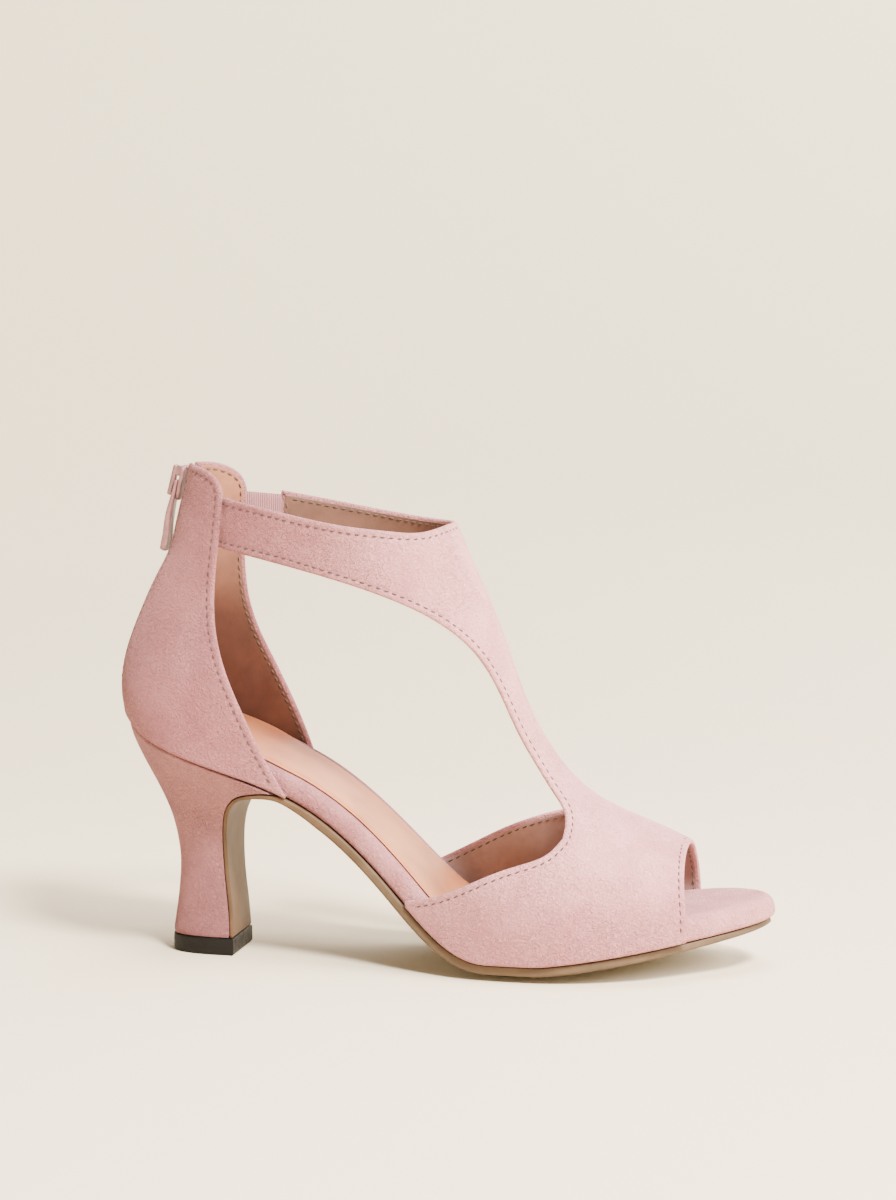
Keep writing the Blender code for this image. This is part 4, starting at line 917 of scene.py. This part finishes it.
def sock_ring(step):
    ring = plan_ring(BOARD_INSET + SOCK_INSET, 0.8)
    near, far = plan_edges(SOCK_FRONT)
    bow = SOCK_FRONT - ((ring[:, 1] - (near + far) / 2) / (far - near)) ** 2 * SOCK_BOW
    waist = SOCK_WAIST * smooth_step(ring[:, 0], 42.0, 62.0) * (1 - smooth_step(ring[:, 0], 100.0, 124.0))
    across = ring[:, 1] - waist * smooth_step(ring[:, 1], 8.0, 18.0)
    return even_loop(np.stack([np.minimum(ring[:, 0], bow), across], axis=1), step)


# Zip, in its own frame: up along the zip, across it, and out from the counter

def zip_frame():
    along = BACK.place(23.0, HINGE_HEIGHT, NEAR)[0]
    base = BACK.points([along], [MIDDLE])[0]
    outward = BACK.slopes(np.array([along]), np.array([MIDDLE]))[2][0] * (1, 0, 1)
    outward /= np.linalg.norm(outward)
    upward = np.array((-outward[2], 0, outward[0]))
    if upward[2] < 0:
        upward = -upward
    return along, base * (1, 0, 1), upward, outward


HINGE_ALONG, HINGE_BASE, ZIP_UP, ZIP_OUT = zip_frame()


def zip_spots(up, across, out):
    up, across, out = np.broadcast_arrays(np.asarray(up, float), across, out)
    return (HINGE_BASE + up[..., None] * ZIP_UP + out[..., None] * ZIP_OUT
            + across[..., None] * np.array((0.0, 1.0, 0.0)))


def back_spots(along, across, out):
    """Points at a distance out from the counter's surface."""
    along, across, out = np.broadcast_arrays(np.asarray(along, float), across, out)
    shape = along.shape
    spot = BACK.points(along.ravel(), across.ravel())
    normal = BACK.slopes(along.ravel(), across.ravel())[2]
    return (spot + normal * out.ravel()[:, None]).reshape(*shape, 3)


def pull_spots(below, across, out):
    """Points of the hanging pull: it leaves the slider straight, then follows the counter's line."""
    below, across, out = np.broadcast_arrays(np.asarray(below, float), across, out)
    straight = zip_spots(-below, across, AXIS_OUT + out)
    lift = AXIS_OUT + (GAP + PULL / 2 + 0.1 - AXIS_OUT) * smooth_step(below, PULL_STRAIGHT, PULL_LENGTH)
    along, on_line = HINGE_ALONG - below.ravel(), np.full(below.size, MIDDLE)
    base = BACK.points(along, on_line)
    outward = BACK.slopes(along, on_line)[2] * (1, 0, 1)
    outward /= np.linalg.norm(outward, axis=1)[:, None]
    base[:, 1] = across.ravel()
    curved = (base + outward * (lift + out).ravel()[:, None]).reshape(*below.shape, 3)
    return np.where((below <= PULL_STRAIGHT)[..., None], straight, curved)


def mirrored(right, step):
    """Even ring of (length, across) from its right half, which starts and ends on the middle line."""
    return even_loop(np.array(right + [(length, -across) for length, across in right[-2:0:-1]]), step)


def pull_ring():
    """Outline of the pull, from above the hinge down, a little wider at its lower end."""
    top, low = PULL_TOP, PULL_LENGTH
    right = [(top + 0.1, 0.0), (top, 0.6), (top, 2.5), (top + 0.25, 2.95)]
    for below in np.linspace(top + 0.8, low - 1.5, 30).tolist():
        share = (below - top) / (low - top)
        right.append((below, (PULL_WIDTH + (PULL_LOW_WIDTH - PULL_WIDTH) * share) / 2))
    return mirrored(right + [(low - 0.5, 3.05), (low - 0.1, 2.5), (low, 0.0)], 0.5)


def rounded_box(low, high, width, radius, step=0.35):
    """Ring of a rectangle with round corners: (up, across)."""
    ring, half, quarter = [], width / 2, np.linspace(0, math.pi / 2, 6)
    for corner, (up, across) in enumerate(((high, half), (low, half), (low, -half), (high, -half))):
        turn = quarter + corner * math.pi / 2
        ring += zip(up - math.copysign(radius, up - (low + high) / 2) + radius * np.cos(turn),
                    across - math.copysign(radius, across) + radius * np.sin(turn))
    return even_loop(np.array(ring), step)


def build_pull(material):
    """Pull tab, thicker towards its lower end, with a slot for the bridge."""
    layers = ((0.5, 0.0), (0.2, 0.06), (0.04, 0.2), (0.0, 0.42), (0.0, 0.62), (0.05, 0.82), (0.2, 0.95),
              (0.5, 1.0))

    def place(below, across, share):
        thickness = PULL + (PULL_LOW - PULL) * smooth_step(below, 3.0, 20.0)
        return pull_spots(below, across, share * thickness - PULL / 2)

    block("pull_tab", pull_ring(), layers, place, 0.9, material, "zip_enamel", "zip_pull", "zip_pull",
          holes=(rounded_box(0.5, 6.3, 3.6, 0.9, 0.4),))


def slider_part(name, ring, low, high, edge, material, node=None):
    thick = high - low
    turns = np.linspace(0, math.pi / 2, 4)
    inset, height = edge * (1 - np.sin(turns)), edge * (1 - np.cos(turns)) / thick
    layers = [*zip(inset, height), *zip(inset[::-1], 1 - height[::-1])]
    block(name, ring, layers, lambda up, across, share: zip_spots(up, across, low + thick * share), 0.8,
          material, "zip_enamel", node)


def shield_ring(low, high, low_width, width):
    half, low_half = width / 2, low_width / 2
    return mirrored([(high, 0.0), (high, half - 2.0), (high - 0.5, half - 0.9), (high - 1.6, half),
                     (0.0, half - 0.1), (low + 2.0, low_half), (low + 0.7, low_half - 0.7),
                     (low, low_half - 1.8), (low, 0.0)], 0.5)


def build_slider(enamel, bare):
    """Plates, post and bridge of the slider (ring, lower and upper face out from the counter, rounding)."""
    slider_part("slider_plate", shield_ring(-6.4, 6.2, 5.8, 8.0), 0.5, 1.85, 0.5, enamel, "zip_slider")
    slider_part("slider_inner_plate", shield_ring(-5.4, 6.2, 4.4, 4.4), -5.2, -3.9, 0.4, enamel)
    slider_part("slider_post", rounded_box(5.0, 6.1, 3.6, 0.3), -4.8, 1.5, 0.2, enamel)
    slider_part("slider_bridge", rounded_box(-5.4, 5.4, 3.4, 0.7), 3.65, 5.45, 0.7, bare)
    slider_part("slider_leg_top", rounded_box(1.9, 5.38, 3.2, 0.4), 1.4, 4.1, 0.2, bare)
    slider_part("slider_leg_low", rounded_box(-5.38, -3.9, 3.2, 0.4), 1.4, 4.1, 0.2, bare)


def build_tape(material):
    low = BACK.place(0.9, SLOT_BOTTOM - 6.0, NEAR)[0]
    rows, across = np.arange(low, HINGE_ALONG + TAPE_TOP, 0.8), np.linspace(-TAPE_HALF, TAPE_HALF, 34)
    grid = np.stack(np.meshgrid(rows, across, indexing="ij"), axis=-1)
    two_faces("zip_cloth", grid, TAPE_OUT, TAPE_OUT - TAPE, material, "zip_tape_pink", "zip_tape")


def two_faces(name, grid, outer, inner, material, slot, node):
    """Sheet on the counter from a grid of spots and the places of its faces, closed round its rim."""
    rows, columns = grid.shape[:2]
    points = [back_spots(grid[..., 0], grid[..., 1], out).reshape(-1, 3) for out in (outer, inner)]
    half = rows * columns
    faces = []
    for face, back in zip(grid_faces(rows, columns, 0, False), grid_faces(rows, columns, half, False)):
        faces += [face, back[:1] + back[:0:-1]]
    rim = ([i * columns for i in range(rows)] + [(rows - 1) * columns + j for j in range(1, columns)]
           + [i * columns + columns - 1 for i in range(rows - 2, -1, -1)] + list(range(columns - 2, 0, -1)))
    faces += [(a, b, half + b, half + a) for a, b in zip(rim, rim[1:] + rim[:1])]
    add_piece(name, points, faces, material, slot, node, uv=[grid.reshape(-1, 2)] * 2, sharp=50)


def build_teeth(material):
    """Closed coil of the zip: rounded teeth that mesh from both sides."""
    low, pitch = BACK.place(0.4, COIL_BOTTOM, NEAR)[0], 1.5
    across = np.array((-1.95, -1.7, -1.1, -0.3, 0.4, 0.9, 1.05))
    size = np.array((0.15, 0.42, 0.5, 0.5, 0.52, 0.42, 0.12))[:, None]
    points, faces = [], []
    for index, along in enumerate(np.arange(low, HINGE_ALONG + COIL_TOP, pitch / 2)):
        beside = across if index % 2 else -across
        centre = back_spots(along, beside, COIL_OUT)
        normal = BACK.slopes(np.full(len(across), along), beside)[2]
        upward = back_spots(along + 0.5, beside, COIL_OUT) - centre
        upward /= np.linalg.norm(upward, axis=1)[:, None]
        faces += grid_faces(len(across), 8, len(points) * len(across) * 8, caps=True)
        points.append(tube(centre, upward * size * 0.598, normal * size * 1.1, 8))
    add_piece("zip_coil", points, faces, material, "zip_teeth", "zip_chain")


def build_elastic(material):
    """Ribbed elastic between the counter and the inner end of the band."""
    rows, columns, ribs = 230, 24, 25
    ends = ((36.6, 144.4, 160.4), (54.8, 142.0, 158.4))
    lower, upper = (np.array([BACK.place(x, z, FAR) for z in heights]) for x, *heights in ends)
    along, share = np.linspace(0, 1, rows)[:, None, None], np.linspace(0, 1, columns)[None, :, None]
    back, front = (line[0] * (1 - share) + line[1] * share for line in (lower, upper))
    grid = back * (1 - along) + front * along
    along, share = along[..., 0], share[..., 0]
    relief = 0.27 * np.abs(np.sin(math.pi * ribs * along)) ** 0.8 - 0.40 * np.abs(2 * share - 1) ** 10
    waist = -0.25 * np.sin(math.pi * along)
    two_faces("elastic_band", grid, waist - 0.62 + relief, waist - 1.42 - relief, material, "ribbed_elastic",
              "elastic_gore")


# Materials

def linear(code):
    """Linear colour of a hex code."""
    parts = (int(code[i:i + 2], 16) / 255 for i in (0, 2, 4))
    return (*(part / 12.92 if part <= 0.04045 else ((part + 0.055) / 1.055) ** 2.4 for part in parts), 1.0)


class Surface:
    """Node tree round one Principled shader; sizes of patterns and depths are given in millimetres."""

    def __init__(self, name, roughness, metallic=0.0, **sockets):
        self.material = bpy.data.materials.new(name)
        self.material.use_nodes = True
        self.nodes = self.material.node_tree.nodes
        self.links = self.material.node_tree.links
        self.shader = self.nodes["Principled BSDF"]
        self.put(Roughness=roughness, Metallic=metallic, **sockets)
        self.place = self.nodes.new("ShaderNodeTexCoord").outputs["Object"]

    def feed(self, socket, value):
        """Give a socket a value, or a link from another node's output."""
        if isinstance(value, bpy.types.NodeSocket):
            self.links.new(value, socket)
        else:
            socket.default_value = value

    def put(self, **sockets):
        for name, value in sockets.items():
            self.feed(self.shader.inputs[name.replace("_", " ")], value)

    def add(self, kind, inputs, **settings):
        node = self.nodes.new("ShaderNode" + kind)
        for name, value in settings.items():
            setattr(node, name, value)
        for name, value in inputs.items():
            self.feed(node.inputs[name], value)
        return node

    def stretched(self, x, y, z):
        return self.add("VectorMath", {0: self.place, 1: (x, y, z)}, operation="MULTIPLY").outputs[0]

    def noise(self, size, detail=2.0, rough=0.5, distortion=0.0, at=None):
        return self.add("TexNoise", {"Scale": 1 / (size * MM), "Detail": detail, "Roughness": rough,
                                     "Distortion": distortion, "Vector": at or self.place}).outputs["Fac"]

    def ramp(self, fac, *stops):
        """Stops are (position, grey level or colour)."""
        node = self.add("ValToRGB", {0: fac})
        while len(node.color_ramp.elements) < len(stops):
            node.color_ramp.elements.new(0.5)
        for element, (position, colour) in zip(node.color_ramp.elements, stops):
            element.position = position
            element.color = colour if isinstance(colour, tuple) else (colour, colour, colour, 1.0)
        return node.outputs["Color"]

    def calculate(self, operation, *values):
        return self.add("Math", dict(enumerate(values)), operation=operation).outputs[0]

    def mix(self, fac, first, second, kind="MIX"):
        return self.add("Mix", {0: fac, 6: first, 7: second}, data_type="RGBA", blend_type=kind).outputs[2]

    def over(self, base, height, start, end, colour, kind="MIX"):
        """The base with a colour over it, by (height, share) at the start and the end of a stretch."""
        return self.mix(self.ramp(height, start, end), base, linear(colour), kind)

    def painted_shade(self, base, axis, start, end, shade):
        """Painted shade: the base times a grey level or a colour, which fades out over a stretch along one
        axis.
        """
        apart = self.add("SeparateXYZ", {0: self.place})
        span = end - start
        share = self.calculate("MULTIPLY_ADD", apart.outputs[axis], 1 / (span * MM), -start / span)
        if not isinstance(shade, tuple):
            shade = (shade, shade ** 1.25, shade ** 1.2, 1.0)
        return self.mix(1.0, base, self.ramp(share, (0.0, shade), (1.0, 1.0)), "MULTIPLY")

    def bump(self, *layers):
        """Layers of (height, strength, depth), one on the other."""
        normal = {}
        for height, strength, depth in layers:
            inputs = {"Strength": strength, "Distance": depth * MM, "Height": height}
            normal = {"Normal": self.add("Bump", inputs | normal).outputs["Normal"]}
        self.put(**normal)


def suede(name, light, dark, pale, crinkle, back=1.0, low=1.0):
    """Brushed suede: patches of turned nap, a fine vein-like crinkle and loose fibres.

    back and low are painted shade: they darken the colour towards the back of the shoe and towards the sole.
    """
    made = Surface(name, 0.95, Sheen_Weight=0.30, Sheen_Roughness=0.40, Sheen_Tint=linear(pale),
                   Specular_IOR_Level=0.20)
    patches = made.noise(16.0, 3.0, 0.55, 0.5)
    nap = made.noise(4.5, 4.0, 0.6, 1.2)
    veins = made.noise(2.0, 3.0, 0.60, 0.6, at=made.stretched(1.0, 1.0, 1.35))
    veins = made.calculate("ABSOLUTE", made.calculate("SUBTRACT", veins, 0.5))
    veins = made.ramp(veins, (0.0, 0.0), (0.06, 0.62), (0.20, 1.0))
    brushed_flat = made.ramp(made.noise(26.0, 2.0, 0.5, 0.5), (0.36, 0.75), (0.60, 0.0))
    veins = made.mix(brushed_flat, veins, (0.8, 0.8, 0.8, 1.0))
    grains = made.noise(0.90, 4.0, 0.62, 0.35)
    fibres = made.noise(0.26, 3.0, 0.7, 0.4)
    base = made.over(linear(dark), patches, (0.34, 0.0), (0.66, 1.0), light)
    base = made.over(base, nap, (0.38, 0.0), (0.68, 0.40), light)
    base = made.over(base, veins, (0.0, 0.34), (0.55, 0.0), dark)
    base = made.over(base, grains, (0.36, 0.24), (0.50, 0.0), dark)
    base = made.over(base, grains, (0.52, 0.0), (0.66, 0.16), pale)
    base = made.over(base, fibres, (0.50, 0.0), (0.72, 0.25), pale)
    # painted shade: darker towards the back of the shoe (back) and towards the sole (low)
    base = made.painted_shade(base, 0, -70.0, 25.0, back)
    made.put(Base_Color=made.painted_shade(base, 2, 4.0, 42.0, low))
    raised = made.ramp(grains, (0.34, 0.0), (0.66, 1.0))
    made.bump((patches, 0.30, 2.5), (nap, 0.30, 1.2), (veins, crinkle, 0.45), (raised, 1.0, 0.40),
              (fibres, 0.40, 0.10))
    return made.material


def smooth_leather(name, light, dark, roughness, shade):
    """Thin lining leather with a fine grain, pores and soft rubbed patches.

    shade is painted shade: an axis, where the darkest tone is, where the shade ends, and the tone itself.
    """
    made = Surface(name, roughness, Sheen_Weight=0.08)
    patches = made.noise(22.0, 3.0, 0.5, 0.3)
    rubbed = made.noise(5.0, 4.0, 0.6, 0.6)
    grain = made.add("TexVoronoi", {"Scale": 1 / (0.9 * MM), "Vector": made.place}, feature="SMOOTH_F1")
    pores = made.noise(0.5, 2.0, 0.6)
    base = made.over(linear(dark), patches, (0.30, 0.0), (0.72, 1.0), light)
    base = made.over(base, rubbed, (0.35, 0.18), (0.60, 0.0), dark, "MULTIPLY")
    # painted shade along one axis, from the shade argument
    made.put(Base_Color=made.painted_shade(base, *shade),
             Roughness=made.ramp(rubbed, (0.2, roughness - 0.06), (0.8, roughness + 0.10)))
    made.bump((grain.outputs["Distance"], 0.12, 0.12), (pores, 0.12, 0.06), (rubbed, 0.10, 0.4))
    return made.material


def outsole_material():
    """Smooth beige sole sheet with a fine grain and faint scuffs along the shoe."""
    made = Surface("outsole_beige", 0.55, Specular_IOR_Level=0.15)
    grain = made.noise(0.5, 3.0, 0.6)
    patches = made.noise(14.0, 4.0, 0.6, 0.5)
    scuffs = made.noise(2.5, 4.0, 0.7, 0.4, at=made.stretched(0.12, 1.0, 0.5))
    base = made.over(linear("4C3D2F"), patches, (0.30, 0.0), (0.70, 1.0), "604E3D")
    base = made.over(base, scuffs, (0.42, 0.22), (0.56, 0.0), "3C2F23")
    # painted shade: darker and redder towards the back, over the heel's breast under the arch
    made.put(Base_Color=made.painted_shade(base, 0, -60.0, -15.0, (0.98, 0.82, 0.72, 1.0)),
             Roughness=made.ramp(patches, (0.3, 0.44), (0.7, 0.60)))
    made.bump((scuffs, 0.06, 0.3), (grain, 0.12, 0.08))
    return made.material


def rubber_material():
    made = Surface("tip_rubber", 0.62, Specular_IOR_Level=0.22)
    grain = made.noise(0.35, 3.0, 0.6)
    worn = made.noise(3.0, 4.0, 0.65, 0.4)
    made.put(Base_Color=made.over(linear("060505"), worn, (0.40, 0.0), (0.72, 1.0), "0D0B0B"),
             Roughness=made.ramp(worn, (0.3, 0.50), (0.7, 0.74)))
    made.bump((grain, 0.25, 0.10), (worn, 0.15, 0.25))
    return made.material


def cloth_material(name, light, dark, size):
    """Plain weave, in the sheet's own directions."""
    made = Surface(name, 0.85, Sheen_Weight=0.15)
    where = made.nodes.new("ShaderNodeUVMap").outputs["UV"]
    warp, weft = (made.add("TexWave", {"Scale": 10.0 / size, "Distortion": 0.2, "Vector": where},
                           bands_direction=axis).outputs["Fac"] for axis in "XY")
    weave = made.calculate("MAXIMUM", warp, weft)
    fuzz = made.noise(0.25, 3.0, 0.7)
    made.put(Base_Color=made.mix(made.calculate("MULTIPLY", weave, 0.8), linear(dark), linear(light)))
    made.bump((weave, 0.5, 0.12), (fuzz, 0.25, 0.05))
    return made.material


def thread_material(name, light, dark):
    made = Surface(name, 0.7, Sheen_Weight=0.2)
    twist = made.noise(0.30, 2.0, 0.6, 0.8, at=made.stretched(1.0, 1.0, 1.6))
    made.put(Base_Color=made.mix(twist, linear(dark), linear(light)))
    made.bump((twist, 0.5, 0.10))
    return made.material


def enamel_material(name, light, dark, metallic, roughness):
    made = Surface(name, roughness, metallic, Coat_Weight=0.10, Coat_Roughness=0.25)
    orange = made.noise(0.9, 2.0, 0.5)
    rubbed = made.noise(2.2, 4.0, 0.6, 0.5)
    made.put(Base_Color=made.over(linear(dark), rubbed, (0.35, 0.0), (0.75, 1.0), light),
             Roughness=made.ramp(rubbed, (0.3, roughness - 0.06), (0.7, roughness + 0.10)))
    made.bump((orange, 0.06, 0.10), (rubbed, 0.05, 0.2))
    return made.material


# The shoe

def no_sink(points):
    return np.zeros(len(points))


COUNTER_EDGE_X, COUNTER_EDGE_Z = np.array(COUNTER_FRONT_NEAR[3::-1]).T


def under_counter(points):
    """The band's outer end is sewn under the counter's front edge, with a groove beside it."""
    near = smooth_step(-points[:, 1], -2.0, 4.0) * smooth_step(points[:, 2], 120.0, 130.0)
    before = points[:, 0] - np.interp(points[:, 2], COUNTER_EDGE_Z, COUNTER_EDGE_X)
    return near * (0.9 * (1 - smooth_step(before, 0.4, 3.4)) + 0.75 * np.exp(-((before - 0.1) / 0.75) ** 2))


# Name, surface, outline, stitched edges, sink, node, and the leather's light and dark tone and painted shade
# (darkest at one height, fading out by another)
UPPER_PARTS = (
    ("vamp_and_band", FRONT, front_pattern(), ("vamp", "bar", "top", "peep", "far_end"), under_counter,
     "upper", "A8877F", "82655E", (2, 140.0, 60.0, (0.36, 0.24, 0.17, 1.0))),
    ("counter", BACK, back_pattern(), ("top", "front"), no_sink, None,
     "A66B50", "7A4833", (2, 116.0, 166.0, (0.24, 0.15, 0.11, 1.0))),
)

# Seams on the outer and the inner face: name, depth, way, slot and seed
SEAMS = (
    ("_stitches", 0.2, 1, "dusty_pink_suede", 3),
    ("_inner_stitches", 1.9, -1, "sock_leather", 5),
)


def build_upper():
    # painted shade on the upper: darker towards the back (back) and towards the sole (low)
    outside = suede("upper_suede", "D8979C", "C27F85", "F0C9CC", 0.75, back=0.50, low=0.64)
    threads = (thread_material("upper_thread", "4C2B33", "321A20"),
               thread_material("lining_thread", "5A3E32", "3C2820"))
    for name, sections, outline, stitched, sink, node, light, dark, shade in UPPER_PARTS:
        leather = smooth_leather(name + "_leather", light, dark, 0.50, shade)
        lines = stitch_lines(sections, outline, stitched)
        sewn = np.concatenate([dense_line(sections.points(*run.T)) for run in lines])

        def height_at(points, from_edge):
            return suede_height(points, from_edge, sewn)

        skin(name + "_suede", sections, outline, SUEDE_RIM, SUEDE_MESH, height_at, sink, outside,
             "dusty_pink_suede", node)
        skin(name + "_lining", sections, outline, LINING_RIM, LINING_MESH, lining_height, sink, leather,
             "sock_leather")
        if name == "counter":
            lines += stitch_lines(sections, outline, ("slot",), 3.0)
        for (end, depth, way, slot, seed), thread in zip(SEAMS, threads):
            stitches(name + end, sewn_runs(sections, lines, depth, sink, way), thread, slot, seed)


def build_platform():
    # painted shade on the platform: darker towards the back (0.48) and towards the sole (0.88)
    material = suede("platform_suede", "CB8D92", "AE6F75", "E9C2C5", 0.55, 0.48, 0.88)
    layers = [(2.4, 0.0), (1.2, 0.02), (0.6, 0.06), (0.25, 0.13), (0.05, 0.24), (0.0, 0.36)]
    layers += [(BOARD_ROUND * (1 - math.cos(turn)), 1 - BOARD_ROUND * (1 - math.sin(turn)) / BOARD)
               for turn in np.linspace(0, math.pi / 2, 10)]
    block("platform_wrap", plan_ring(BOARD_INSET, 1.3), layers,
          lambda x, y, share: on_footbed(x, y, share * BOARD), 2.4, material, "wrapped_platform_suede",
          "insole_board", waves=(0.10, 15.0, 6))


def build_sock():
    # painted shade: the sock is darker towards its heel end, deep in the shoe
    leather = smooth_leather("sock_leather", "D28A5C", "AF6A43", 0.42,
                             (0, -60.0, 60.0, (0.60, 0.47, 0.36, 1.0)))
    layers = [(0.3, 0.0), (0.05, 0.12), (0.0, 0.25), (0.06, 0.38), (0.25, 0.52), (0.6, 0.68), (1.1, 0.84),
              (1.7, 0.95), (2.4, 1.0)]
    block("sock", sock_ring(1.2), layers,
          lambda x, y, share: on_footbed(x, y, BOARD + GAP + SOCK * share), 2.4, leather, "sock_leather",
          "sock_lining", waves=(0.12, 20.0, 8))


def build_outsole():
    layers = ((0.9, 0.0), (0.35, 0.05), (0.06, 0.18), (0.0, 0.32), (0.0, 0.6), (0.03, 0.86), (0.14, 0.97),
              (0.3, 1.0))
    block("outsole_sheet", outsole_ring(1.3), layers, on_outsole, 2.6, outsole_material(), "outsole_beige",
          "outsole")


GLOW = 2.35                  # strength of the floor's own light far from the shoe


def build_stage():
    """A pale floor that rises softly all round, far behind the shoe. It glows with painted light, which grows
    away from the shoe and towards +x.
    """
    steps, turns, flat, reach = 60, 96, 1500.0, 4200.0
    points = []
    for index in range(steps):
        radius = reach * (index / (steps - 1)) ** 1.4 + 1.0
        height = 1500.0 * max(0.0, (radius - flat) / (reach - flat)) ** 2.2
        for angle in np.linspace(0, 2 * math.pi, turns, endpoint=False):
            points.append((radius * math.cos(angle) * MM, radius * math.sin(angle) * MM, height * MM))
    mesh = bpy.data.meshes.new("floor")
    mesh.from_pydata(points, [], grid_faces(steps, turns) + [tuple(range(turns))[::-1]])
    mesh.shade_smooth()
    paper = Surface("floor_paper", 0.85, Emission_Color=linear("F6E4BE"))
    away = paper.add("VectorMath", {0: paper.place}, operation="LENGTH").outputs["Value"]
    glow = paper.ramp(paper.calculate("DIVIDE", away, reach * MM), (0.10, 0.0), (0.40, 0.62), (0.85, 1.0))
    apart = paper.add("SeparateXYZ", {0: paper.place})
    # painted light: the floor's glow is stronger towards +x
    brighter = paper.calculate("MULTIPLY_ADD", apart.outputs[0], GLOW * 0.28, GLOW * 1.36)
    paper.put(Base_Color=paper.mix(paper.noise(300.0, 3.0, 0.5), linear("DECFB5"), linear("E1D3BC")),
              Emission_Strength=paper.calculate("MULTIPLY", glow, brighter))
    paper.bump((paper.noise(1.5, 3.0, 0.6), 0.05, 0.2))
    mesh.materials.append(paper.material)
    floor = bpy.data.objects.new("floor", mesh)
    bpy.context.scene.collection.objects.link(floor)


WARM_LIGHT = (1.0, 0.945, 0.865)
# Name, place, target, size, power and colour
LAMPS = (
    ("overhead", (0.15, 0.20, 1.4), (0.02, 0.0, 0.0), (0.8, 0.8), 30.0, WARM_LIGHT),
    ("key", (0.88, -0.96, 1.60), (0.0, 0.0, 0.06), (0.42, 0.42), 158.0, WARM_LIGHT),
    ("side", (1.30, -0.35, 0.80), (0.0, 0.0, 0.06), (0.6, 0.6), 52.0, WARM_LIGHT),
    ("back", (0.5, 1.3, 0.9), (0.0, 0.0, 0.08), (1.2, 0.8), 12.0, (1.0, 0.97, 0.93)),
)


def look_from(name, data, place, target):
    """An object that looks from its place at a target."""
    made = bpy.data.objects.new(name, data)
    made.location = place
    made.rotation_euler = (Vector(target) - Vector(place)).to_track_quat("-Z", "Y").to_euler()
    bpy.context.scene.collection.objects.link(made)
    return made


def build_light():
    world = bpy.data.worlds.new("studio")
    world.use_nodes = True
    ground = world.node_tree.nodes["Background"]
    ground.inputs["Color"].default_value = linear("EAEAF0")
    ground.inputs["Strength"].default_value = 0.15
    bpy.context.scene.world = world
    for name, place, target, size, power, colour in LAMPS:
        lamp = bpy.data.lights.new(name, "AREA")
        lamp.shape = "RECTANGLE"
        lamp.size, lamp.size_y = size
        lamp.energy = power
        lamp.color = colour
        look_from(name, lamp, place, target)


def build_camera():
    turn, rise, distance = math.radians(11.0), math.radians(5.5), 1.099
    target = Vector(((116 - ORIGIN[0]) * MM, -ORIGIN[1] * MM, 0.1244))
    lens = bpy.data.cameras.new("camera")
    lens.sensor_width, lens.lens = 36.0, 96.0
    place = target + Vector((math.sin(turn) * math.cos(rise), -math.cos(turn) * math.cos(rise),
                             math.sin(rise))) * distance
    bpy.context.scene.camera = look_from("camera", lens, place, target)


build_upper()
build_platform()
build_sock()
build_outsole()
# painted shade: the heel's suede is darker towards the floor (low)
build_heel(suede("heel_suede", "986569", "7F5357", "C39598", 0.60, low=0.80))
build_top_piece(rubber_material())
build_tape(cloth_material("zip_tape_cloth", "AE7F7E", "8C605F", 0.7))
build_teeth(enamel_material("zip_coil_nylon", "B08280", "8F6462", 0.0, 0.4))
enamel = enamel_material("zip_enamel", "94676A", "785052", 0.0, 0.42)
build_slider(enamel, enamel_material("zip_bridge_metal", "94676A", "735053", 0.25, 0.36))
build_pull(enamel)
build_elastic(cloth_material("elastic_cloth", "AC787C", "6B4347", 0.6))
build_stage()
build_light()
build_camera()
